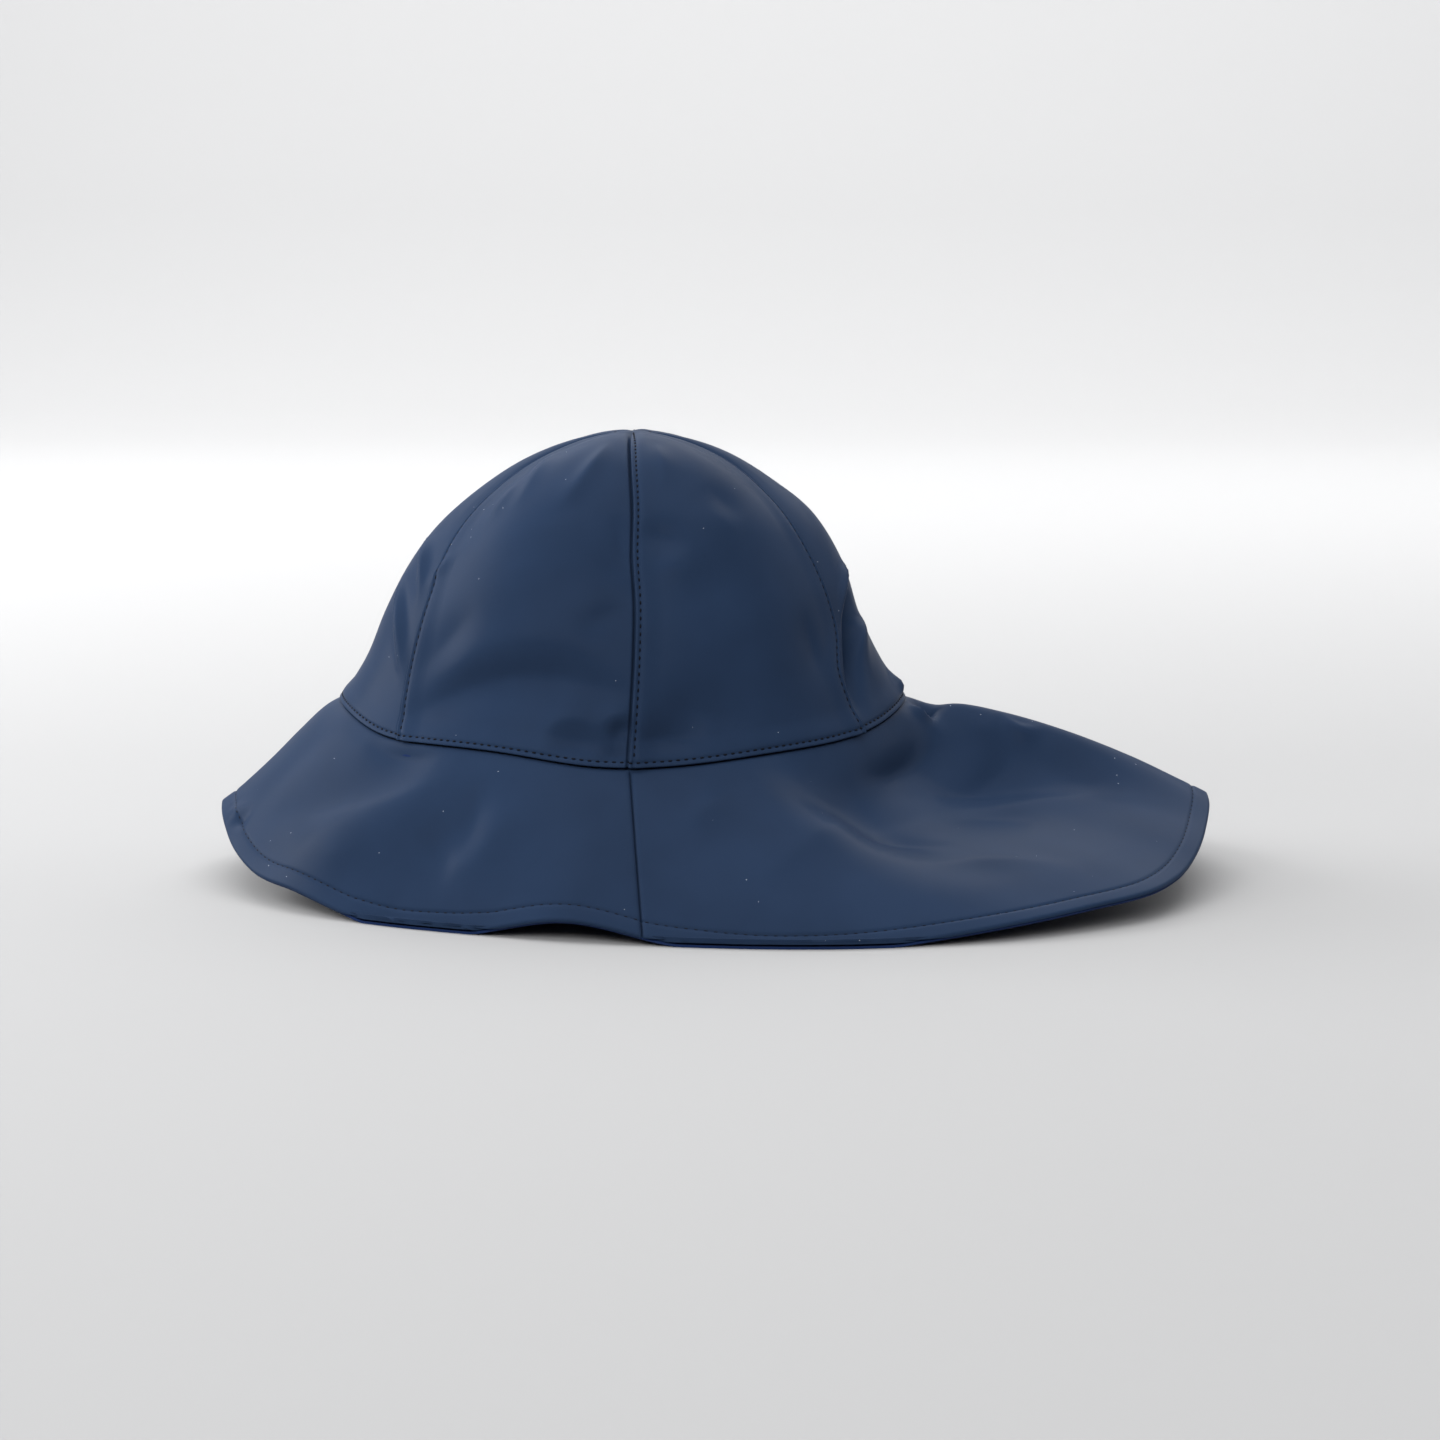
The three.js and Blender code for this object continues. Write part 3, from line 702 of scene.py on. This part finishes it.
def crown_panel(panel):
    """The points of a crown panel's outer face, rows from its foot to the top, and their lengths."""
    steps = crown_steps()[:, None]
    start, end, width = panel_span(panel, steps)
    room = np.clip(width / FULL_LAP_WIDTH, 0, 1)
    lapped, under = (LAPPED_COLUMNS, seams().lap_reach), (UNDER_COLUMNS, seams().tuck)
    reach = [lapped if over else under for over in panel["over"]]
    first, last = ((np.array(columns)[None, :] - past) * room for columns, past in reach)
    inner_count = int((width.max() - first[0, -1] - last[0, -1]) / CROWN_SPACING)
    share = np.linspace(0, 1, inner_count + 1)[None, 1:-1]
    middle = first[:, -1:] + (width - last[:, -1:] - first[:, -1:]) * share
    place = np.concatenate([first, middle, (width - last)[:, ::-1]], axis=1)
    way = np.where(width > 1e-6, place / np.maximum(width, 1e-6), 0.5)
    round_ = start + (end - start) * way
    step = np.broadcast_to(steps, round_.shape)
    up = step * CROWN_SLANT
    proud = panel_proud(panel, place, width - place, up, room)
    points, _ = crown_surface(round_, step, way, proud)
    return points, np.stack([place, up], -1)


def make_crown(material):
    for panel in CROWN_PANELS:
        points, lengths = crown_panel(panel)
        piece = cloth_grid(panel["node"] + "_cloth", points)
        measured(piece, lengths)
        weld(piece, TOP_WELD)
        thickened(piece, sizes().crown_cloth)
        finished(piece, panel["node"], material)


# The brim

BRIM_SPACING = 1.7
# Where a brim piece's grid is close: in from its seams, in the margin under the crown's foot, out
# from that foot, and in from the hem's edge
SEAM_COLUMNS = (0.0, 0.12, 0.35, 0.7, 1.2, 1.9, 2.8, 4.0)
MARGIN_STEPS = (-1.0, -0.4, 0.0)
BRIM_TOP_ROWS = (0.25, 0.7, 1.4, 2.4, 3.8)
HEM_ROWS = (13.0, 11.0, 9.4, 8.2, 7.3, 6.7, 6.35, 6.0, 5.65, 5.3,
            4.6, 3.7, 2.8, 2.0, 1.4, 0.9, 0.55, 0.28, 0.1, 0.0)
FACING_SPACING = 1.5 * BRIM_SPACING
# Samples out across the brim, from just outside its margin, and along its edge
OUTWARD_SAMPLES = np.linspace(0.0001, 1, 121)
EDGE_SAMPLES = 400
# The groove along a brim seam, deep in the outer cloth and slight in the facing
SEAM_DEPTH = 1.25
FACING_SEAM_DEPTH = 0.15
SEAM_WIDTH = 0.38
SEAM_FROM = 0.03
# The crease along the crown's foot
CREASE_DEPTH = 0.3
CREASE_WIDTH = 0.8
# The hem's band between its topstitching and its edge, and the edge's rounding
BAND_HEIGHT = 0.15
BAND_FULLNESS = 0.6
HEM_ROLL = 0.95
HEM_GROOVE_WIDTH = 0.5


def brim_steps(at_crown, at_edge, inward):
    """The steps at lengths in from the brim's edge, down each column, and its whole length."""
    samples = OUTWARD_SAMPLES[:, None]
    round_ = at_crown + (at_edge - at_crown) * samples
    points, _ = brim_surface(round_, samples + 0 * at_edge, 0.0, 0 * at_edge)
    lengths = np.cumsum(np.linalg.norm(np.diff(points, axis=0, prepend=points[:1]), axis=-1), axis=0)
    slant = lengths[-1]
    columns = range(len(at_edge))
    steps = [np.interp(slant[i] - inward[:, i], lengths[:, i], samples[:, 0]) for i in columns]
    return np.stack(steps, -1), slant


def seam_groove(distance, relief):
    """How far a brim seam draws its cloth in."""
    return -(SEAM_DEPTH if relief > 0 else FACING_SEAM_DEPTH) * np.exp(-distance / SEAM_WIDTH)


def foot_crease(distance, relief):
    """How far the outer cloth is drawn down along the crown's foot."""
    return -CREASE_DEPTH * max(relief, 0) * np.exp(-distance / CREASE_WIDTH)


def hem_relief(inward):
    """The hem's rolled edge, its puffed band and the groove that the topstitching pulls."""
    sewing = seams()
    band = BAND_HEIGHT * np.sin(np.pi * np.clip(inward / sewing.hem_stitch_in, 0, 1)) ** BAND_FULLNESS
    groove = sewing.groove * dip(inward, sewing.hem_stitch_in, HEM_GROOVE_WIDTH)
    return band - rolled(inward, HEM_ROLL) - groove


def brim_columns(piece, spacing):
    """A brim piece's angles at the crown and at its edge, and the lengths along its edge."""
    start, end = piece["first"]["at_edge"], piece["last"]["at_edge"] + piece["turn"]
    dense = np.linspace(start, end, EDGE_SAMPLES)
    arc = np.concatenate([[0], np.cumsum(np.radians(np.diff(dense)) * brim_radius(dense[1:], 1.0))])
    edge = np.array(SEAM_COLUMNS)
    count = int((arc[-1] - 2 * edge[-1]) / spacing)
    middle = np.linspace(edge[-1], arc[-1] - edge[-1], count)[1:-1]
    lengths = np.concatenate([edge, middle, (arc[-1] - edge)[::-1]])
    at_edge = np.interp(lengths, arc, dense)
    share = (at_edge - start) / (end - start)
    first, last = piece["first"]["at_crown"], piece["last"]["at_crown"] + piece["turn"]
    return first * (1 - share) + last * share, at_edge, lengths


def brim_grid(piece, depth, spacing, relief):
    """The points of a brim piece, rows from the crown's margin out to the edge, and their lengths.

    Relief is 1 for the outer cloth and -1 for the facing, whose sewing shows on its underside.
    """
    at_crown, at_edge, lengths = brim_columns(piece, spacing)
    _, slant = brim_steps(at_crown, at_edge, np.zeros((1, len(at_edge))))
    hem = np.array(HEM_ROWS)[:, None] + 0 * slant
    top = slant - np.array(BRIM_TOP_ROWS)[:, None]
    count = int((slant.max() - HEM_ROWS[0] - BRIM_TOP_ROWS[-1]) / spacing)
    between = np.linspace(0, 1, count + 1)[1:-1, None]
    inward = np.concatenate([top, top[-1:] + (hem[:1] - top[-1:]) * between, hem], axis=0)
    step, _ = brim_steps(at_crown, at_edge, inward)
    margin = np.array(MARGIN_STEPS)[:, None] + 0 * slant
    step = np.concatenate([margin, step], axis=0)
    inward = np.concatenate([slant + 0 * margin, inward], axis=0)
    out = np.clip(step, 0, 1)
    round_ = at_crown + (at_edge - at_crown) * out
    scale = brim_radius(round_, out) / brim_radius(at_edge, 1.0)
    groove = seam_groove(lengths * scale, relief) + seam_groove((lengths[-1] - lengths) * scale, relief)
    proud = relief * (hem_relief(inward) + groove * smooth(0, SEAM_FROM, out))
    proud += foot_crease(slant - inward, relief)
    points, _ = brim_surface(round_, step, depth, proud)
    return points, np.stack([lengths * scale, slant - inward], -1)


def make_brim_cloth(node, points, lengths, material):
    cloth = cloth_grid(node + "_cloth", points)
    measured(cloth, lengths)
    thickened(cloth, sizes().brim_cloth)
    finished(cloth, node, material)


def make_brim(material):
    for piece in BRIM_PIECES:
        points, lengths = brim_grid(piece, 0.0, BRIM_SPACING, 1.0)
        make_brim_cloth(piece["node"], points[::-1], lengths[::-1], material)


def make_facing(material):
    for piece in BRIM_PIECES:
        points, lengths = brim_grid(piece, BRIM_THICKNESS, FACING_SPACING, -1.0)
        points[..., 2] = np.maximum(points[..., 2], 0)
        make_brim_cloth(piece["node"] + "_facing", points, lengths, material)


# Topstitching

# Half a stitch's length as a share of the pitch, and how far its ends turn down in thread radii
STITCH_HALF = 0.3
STITCH_BEND = 0.6
# How far the thread's middle lies above its groove's floor, or below it
STITCH_RISE = 0.02
HEM_STITCH_RISE = -0.13
# The steps between which a crown seam is topstitched, and the samples along the paths
STITCHED_STEPS = (0.022, 0.965)
SEAM_SAMPLES = 260
FOOT_SAMPLES = 60
# The hem's topstitching leaves out the two columns nearest to each seam
HEM_RUN = slice(2, -2)


def stitch_shape():
    """The corners and faces of a topstitch before it is drawn out: a ball with its poles along X."""
    deselect_all()
    turned = (0, math.radians(90), 0)
    bpy.ops.mesh.primitive_uv_sphere_add(segments=8, ring_count=6, radius=1, rotation=turned)
    ball = bpy.context.object
    bpy.ops.object.transform_apply(location=False, rotation=True, scale=False)
    corners = np.array([v.co for v in ball.data.vertices])
    # A ball lists its faces in another order each time
    faces = sorted(list(p.vertices) for p in ball.data.polygons)
    bpy.data.objects.remove(ball)
    return corners, faces


def stitched(name, path, outward, pitch, material, rise=STITCH_RISE):
    """Topstitches along a path of points, in millimetres, each lying on the cloth."""
    radius = seams().thread
    corners, faces = stitch_shape()
    steps = np.linalg.norm(np.diff(path, axis=0), axis=1)
    along = np.concatenate([[0], np.cumsum(steps)])
    count = int(along[-1] / pitch)
    half = pitch * STITCH_HALF
    middles = (np.arange(count) + 0.5) * along[-1] / count

    def at(values, where):
        return np.stack([np.interp(where, along, values[:, i]) for i in range(3)], -1)

    centre, normal = at(path, middles), at(outward, middles)
    tangent = unit(at(path, middles + half) - at(path, middles - half))
    normal = unit(normal - tangent * np.sum(normal * tangent, -1, keepdims=True))
    across = np.cross(normal, tangent)
    shape = corners[None]
    bend = -STITCH_BEND * radius * shape[..., 0:1] ** 4
    vertices = (
        centre[:, None]
        + tangent[:, None] * shape[..., 0:1] * half
        + across[:, None] * shape[..., 1:2] * radius
        + normal[:, None] * (shape[..., 2:3] * radius + bend + rise)
    )
    offsets = range(0, count * len(corners), len(corners))
    mesh = bpy.data.meshes.new(name)
    all_faces = [[v + offset for v in face] for offset in offsets for face in faces]
    mesh.from_pydata(placed(vertices.reshape(-1, 3)).tolist(), [], all_faces)
    rows = bpy.data.objects.new(name, mesh)
    bpy.context.scene.collection.objects.link(rows)
    select_only(rows)
    bpy.ops.object.shade_smooth()
    finished(rows, None, material)


def crown_stitch_path(panel, which):
    """Where a panel's topstitching runs and which way is outward; which is 0 at its first seam."""
    step = np.linspace(*STITCHED_STEPS, SEAM_SAMPLES)
    start, end, width = panel_span(panel, step)
    room = np.clip(width / FULL_LAP_WIDTH, 0, 1)
    place = seams().stitch_in * room
    distances = (place, width - place) if which == 0 else (width - place, place)
    way = distances[0] / width
    proud = panel_proud(panel, distances[0], distances[1], step * CROWN_SLANT, room)
    return crown_surface(start + (end - start) * way, step, way, proud)


def make_crown_stitches(material):
    for panel in CROWN_PANELS:
        for which, over in enumerate(panel["over"]):
            if over:
                seam, side = panel[("first", "last")[which]]
                name = "topstitch_" + seam + ("_left" if side == LEFT else "_right")
                stitched(name, *crown_stitch_path(panel, which), seams().pitch, material)


def make_foot_stitches(material):
    up = seams().foot_stitch_in / CROWN_SLANT
    paths, normals = [], []
    for panel in CROWN_PANELS:
        start, end, width = panel_span(panel, np.array(up))
        way = np.linspace(0, 1, FOOT_SAMPLES)
        step = np.full(FOOT_SAMPLES, up)
        proud = panel_proud(panel, width * way, width * (1 - way), step * CROWN_SLANT, 1.0)
        points, outward = crown_surface(start + (end - start) * way, step, way, proud)
        paths.append(points)
        normals.append(outward)
    stitched("topstitch_foot", np.concatenate(paths), np.concatenate(normals), seams().pitch, material)


def make_hem_stitches(material):
    for piece in BRIM_PIECES:
        at_crown, at_edge, _ = brim_columns(piece, BRIM_SPACING)
        stitch_in = np.full((1, len(at_edge)), seams().hem_stitch_in)
        step = brim_steps(at_crown, at_edge, stitch_in)[0][0]
        round_ = at_crown + (at_edge - at_crown) * step
        proud = hem_relief(np.full(len(step), seams().hem_stitch_in))
        for side, depth, turn in (("", 0.0, 1), ("_facing", BRIM_THICKNESS, -1)):
            points, outward = brim_surface(round_, step, depth, proud * turn)
            name = "hemstitch_" + piece["node"] + side
            path, outward = points[HEM_RUN], outward[HEM_RUN] * turn
            stitched(name, path, outward, seams().hem_pitch, material, HEM_STITCH_RISE)


# Materials

# The sockets of a colour mix
MIX_A, MIX_B, MIX_RESULT = 6, 7, 2
NOISE_MIDDLE = {"From Min": 0.3, "From Max": 0.7}
# How far the unevenness shifts the cloth's colour and its roughness
SHADE_SPREAD = (0.9, 1.12)
GLOSS_SPREAD = (-0.04, 0.05)
SPECK_SIZE = 0.045
SPECKLESS = 0.86
SPECK_COLOUR = (0.42, 0.47, 0.56, 1)
COATING = {
    "Sheen Weight": 0.02,
    "Sheen Roughness": 0.35,
    "Sheen Tint": (0.72, 0.74, 0.95, 1),
    "IOR": 1.045,
    "Coat Weight": 0.24,
    "Coat Roughness": 0.3,
    "Coat IOR": 1.12,
}
PAPER = {"Base Color": (0.4, 0.4, 0.403, 1), "Roughness": 0.9, "Specular IOR Level": 0.1}


class Nodes:
    """A material's node tree, built line by line."""

    def __init__(self, name):
        self.material = bpy.data.materials.new(name)
        self.material.use_nodes = True
        self.tree = self.material.node_tree
        self.shader = self.tree.nodes["Principled BSDF"]

    def add(self, kind, **settings):
        node = self.tree.nodes.new(kind)
        for key, value in settings.items():
            if key in node.inputs:
                node.inputs[key].default_value = value
            else:
                setattr(node, key, value)
        return node

    def link(self, source, target):
        self.tree.links.new(source, target)

    def texture(self, kind, **settings):
        node = self.add(kind, **settings)
        self.link(self.add("ShaderNodeTexCoord").outputs["Object"], node.inputs["Vector"])
        return node

    def spread(self, noise, low, high):
        """The middle part of a noise, spread between two values."""
        node = self.add("ShaderNodeMapRange", **{"To Min": low, "To Max": high}, **NOISE_MIDDLE)
        self.link(noise.outputs["Fac"], node.inputs["Value"])
        return node.outputs["Result"]

    def compared(self, operation, source, limit):
        node = self.add("ShaderNodeMath", operation=operation)
        node.inputs[1].default_value = limit
        self.link(source, node.inputs[0])
        return node.outputs["Value"]

    def surface(self, settings):
        for key, value in settings.items():
            self.shader.inputs[key].default_value = value


def coated_cloth(name, colour):
    """Coated cloth: a fine grain, soft unevenness of colour and gloss, and a little dust."""
    nodes = Nodes(name)
    uneven = nodes.texture("ShaderNodeTexNoise", Scale=22.0, Detail=3.0, Roughness=0.55)
    grain = nodes.texture("ShaderNodeTexNoise", Scale=2600.0, Detail=2.0, Roughness=0.6)
    pebble = nodes.texture("ShaderNodeTexNoise", Scale=420.0, Detail=2.0, Roughness=0.5)
    tint = nodes.add("ShaderNodeMix", data_type="RGBA", blend_type="MULTIPLY")
    tint.inputs["Factor"].default_value = 1.0
    tint.inputs[MIX_A].default_value = (*colour, 1)
    nodes.link(nodes.spread(uneven, *SHADE_SPREAD), tint.inputs[MIX_B])
    specks = nodes.texture("ShaderNodeTexVoronoi", Scale=300.0)
    split = nodes.add("ShaderNodeSeparateColor")
    nodes.link(specks.outputs["Color"], split.inputs["Color"])
    both = nodes.add("ShaderNodeMath", operation="MULTIPLY")
    nodes.link(nodes.compared("LESS_THAN", specks.outputs["Distance"], SPECK_SIZE), both.inputs[0])
    nodes.link(nodes.compared("GREATER_THAN", split.outputs["Red"], SPECKLESS), both.inputs[1])
    dusty = nodes.add("ShaderNodeMix", data_type="RGBA")
    nodes.link(both.outputs["Value"], dusty.inputs["Factor"])
    nodes.link(tint.outputs[MIX_RESULT], dusty.inputs[MIX_A])
    dusty.inputs[MIX_B].default_value = SPECK_COLOUR
    nodes.link(dusty.outputs[MIX_RESULT], nodes.shader.inputs["Base Color"])
    gloss = (look().roughness + shift for shift in GLOSS_SPREAD)
    nodes.link(nodes.spread(uneven, *gloss), nodes.shader.inputs["Roughness"])
    coarse = nodes.add("ShaderNodeBump", Strength=0.06, Distance=0.0004)
    fine = nodes.add("ShaderNodeBump", Strength=0.1, Distance=0.00008)
    nodes.link(pebble.outputs["Fac"], coarse.inputs["Height"])
    nodes.link(grain.outputs["Fac"], fine.inputs["Height"])
    nodes.link(coarse.outputs["Normal"], fine.inputs["Normal"])
    nodes.link(fine.outputs["Normal"], nodes.shader.inputs["Normal"])
    nodes.surface(COATING)
    return nodes.material


def sewing_thread():
    """Twisted polyester thread, with a fine bumpy grain from a noise."""
    nodes = Nodes("sewing_thread")
    twist = nodes.texture("ShaderNodeTexNoise", Scale=5200.0, Detail=1.0)
    bump = nodes.add("ShaderNodeBump", Strength=0.3, Distance=0.00006)
    nodes.link(twist.outputs["Fac"], bump.inputs["Height"])
    nodes.link(bump.outputs["Normal"], nodes.shader.inputs["Normal"])
    nodes.surface({"Base Color": (*look().thread, 1), "Roughness": 0.7, "IOR": 1.2})
    return nodes.material


# The stage

IMAGE_SIZE = 1440
MM_PER_PIXEL = 0.325
VIEW_ELEVATION = math.radians(8)
VIEW_DISTANCE = 1500.0
SENSOR = 36.0
CAMERA_REACH = 50
# Where the middle of the crown's foot lies in the photograph, in pixels
FOOT_MIDDLE_X = 623
FOOT_MIDDLE_Y = 695


def camera_at_photo():
    """A camera that frames the hat as the photograph does."""
    across = (IMAGE_SIZE / 2 - FOOT_MIDDLE_X) * MM_PER_PIXEL
    down = (IMAGE_SIZE / 2 - FOOT_MIDDLE_Y) * MM_PER_PIXEL / math.cos(VIEW_ELEVATION)
    target = np.array((across, 0, sizes().seam_height_ends - down))
    away = np.array((0, -math.cos(VIEW_ELEVATION), math.sin(VIEW_ELEVATION)))
    deselect_all()
    place = placed(target + away * VIEW_DISTANCE)
    bpy.ops.object.camera_add(location=place, rotation=(math.pi / 2 - VIEW_ELEVATION, 0, 0))
    camera = bpy.context.object
    camera.name = "photo_camera"
    camera.data.sensor_width = SENSOR
    camera.data.lens = SENSOR * VIEW_DISTANCE / (IMAGE_SIZE * MM_PER_PIXEL)
    camera.data.clip_end = CAMERA_REACH
    bpy.context.scene.camera = camera


def backdrop():
    """A pale floor that sweeps up into a wall behind the hat."""
    half, near, depth, bend, height = 4.0, -4.0, 3.0, 1.2, 4.0
    angles = np.linspace(0, math.pi / 2, 13)
    profile = [(near, 0.0), (depth - bend, 0.0)]
    profile += [(depth - bend + bend * math.sin(a), bend - bend * math.cos(a)) for a in angles[1:]]
    profile.append((depth, height))
    deselect_all()
    bpy.ops.mesh.primitive_grid_add(x_subdivisions=1, y_subdivisions=len(profile) - 1, size=1)
    sheet = bpy.context.object
    sheet.name = "backdrop"
    for vertex in sheet.data.vertices:
        row = round((vertex.co.y + 0.5) * (len(profile) - 1))
        vertex.co = Vector((vertex.co.x * 2 * half, *profile[row]))
    bpy.ops.object.shade_smooth()
    nodes = Nodes("backdrop_paper")
    nodes.surface(PAPER)
    sheet.data.materials.append(nodes.material)


def softbox(name, place, aim, width, height, power):
    deselect_all()
    bpy.ops.object.light_add(type="AREA", location=place)
    light = bpy.context.object
    light.name = name
    light.data.shape = "RECTANGLE"
    light.data.size = width
    light.data.size_y = height
    light.data.energy = power
    light.rotation_euler = (Vector(aim) - Vector(place)).to_track_quat("-Z", "Y").to_euler()


# Each light's name, its place, where it aims, its width and height in metres, and its power
LIGHTS = (
    ("rear_softbox", (0.0, 1.3, 1.3), (0.0, 0.0, 0.1), 3.0, 1.3, 32.0),
    ("overhead_softbox", (0.0, 0.0, 1.7), (0.0, 0.0, 0.0), 1.8, 1.0, 16.0),
    ("front_softbox", (-0.6, -2.0, 1.45), (0.0, 0.0, 0.05), 3.0, 1.4, 50.0),
    ("left_softbox", (-1.5, 0.5, 0.7), (0.0, 0.1, 0.1), 1.2, 1.0, 30.0),
    ("right_softbox", (1.6, 0.5, 0.75), (0.0, 0.2, 0.1), 1.2, 1.0, 7.0),
    ("wall_light", (0.0, 1.5, 1.7), (0.0, 3.0, 0.6), 3.6, 0.5, 75.0),
)
SKY_COLOUR = (0.93, 0.95, 1.0, 1)
SKY_STRENGTH = 0.12


def make_stage():
    backdrop()
    camera_at_photo()
    for settings in LIGHTS:
        softbox(*settings)
    world = bpy.data.worlds.new("studio")
    world.use_nodes = True
    sky = world.node_tree.nodes["Background"]
    sky.inputs["Color"].default_value = SKY_COLOUR
    sky.inputs["Strength"].default_value = SKY_STRENGTH
    bpy.context.scene.world = world
    bpy.context.scene.view_settings.view_transform = "Standard"


# The add-on


class HAT_OT_crown(bpy.types.Operator):
    """Make the crown's six panels"""

    bl_idname = "hat.crown"
    bl_label = "Make the crown"

    def execute(self, context):
        make_crown(bpy.data.materials["coated_cloth_outer"])
        return {"FINISHED"}


class HAT_OT_brim(bpy.types.Operator):
    """Make the brim's outer cloths"""

    bl_idname = "hat.brim"
    bl_label = "Make the brim"

    def execute(self, context):
        make_brim(bpy.data.materials["coated_cloth_outer"])
        return {"FINISHED"}


class HAT_OT_facing(bpy.types.Operator):
    """Make the brim's facings"""

    bl_idname = "hat.facing"
    bl_label = "Make the facing"

    def execute(self, context):
        make_facing(bpy.data.materials["coated_cloth_facing"])
        return {"FINISHED"}


class HAT_OT_topstitching(bpy.types.Operator):
    """Sew the topstitching of the crown's seams, its foot and the hem"""

    bl_idname = "hat.topstitching"
    bl_label = "Sew the topstitching"

    def execute(self, context):
        thread = bpy.data.materials["sewing_thread"]
        make_crown_stitches(thread)
        make_foot_stitches(thread)
        make_hem_stitches(thread)
        return {"FINISHED"}


class HAT_OT_materials(bpy.types.Operator):
    """Mix the cloth's and the thread's materials"""

    bl_idname = "hat.materials"
    bl_label = "Mix the materials"

    def execute(self, context):
        coated_cloth("coated_cloth_outer", look().outer)
        coated_cloth("coated_cloth_facing", look().facing)
        sewing_thread()
        return {"FINISHED"}


class HAT_OT_stage(bpy.types.Operator):
    """Set up the floor, the lights and the camera"""

    bl_idname = "hat.stage"
    bl_label = "Set the stage"

    def execute(self, context):
        make_stage()
        return {"FINISHED"}


class HAT_PT_panel(bpy.types.Panel):
    """The hat's steps and sizes"""

    bl_idname = "HAT_PT_panel"
    bl_label = "Rain hat"
    bl_space_type = "VIEW_3D"
    bl_region_type = "UI"
    bl_category = "Rain hat"

    def draw(self, context):
        layout = self.layout
        for operator in OPERATORS:
            layout.operator(operator.bl_idname)
        for group in (context.scene.hat_sizes, context.scene.hat_seams, context.scene.hat_look):
            for name in group.__annotations__:
                layout.prop(group, name)


OPERATORS = (
    HAT_OT_materials, HAT_OT_stage, HAT_OT_crown, HAT_OT_brim, HAT_OT_facing, HAT_OT_topstitching)
GROUPS = {"hat_sizes": HatSizes, "hat_seams": SeamSizes, "hat_look": ClothLook}


def register():
    for group in GROUPS.values():
        bpy.utils.register_class(group)
    for operator in OPERATORS:
        bpy.utils.register_class(operator)
    bpy.utils.register_class(HAT_PT_panel)
    for name, group in GROUPS.items():
        setattr(bpy.types.Scene, name, bpy.props.PointerProperty(type=group))


def unregister():
    for name in GROUPS:
        delattr(bpy.types.Scene, name)
    bpy.utils.unregister_class(HAT_PT_panel)
    for operator in reversed(OPERATORS):
        bpy.utils.unregister_class(operator)
    for group in GROUPS.values():
        bpy.utils.unregister_class(group)


def main():
    register()
    bpy.ops.hat.materials()
    bpy.ops.hat.stage()
    bpy.ops.hat.crown()
    bpy.ops.hat.brim()
    bpy.ops.hat.facing()
    bpy.ops.hat.topstitching()


if __name__ == "__main__":
    main()
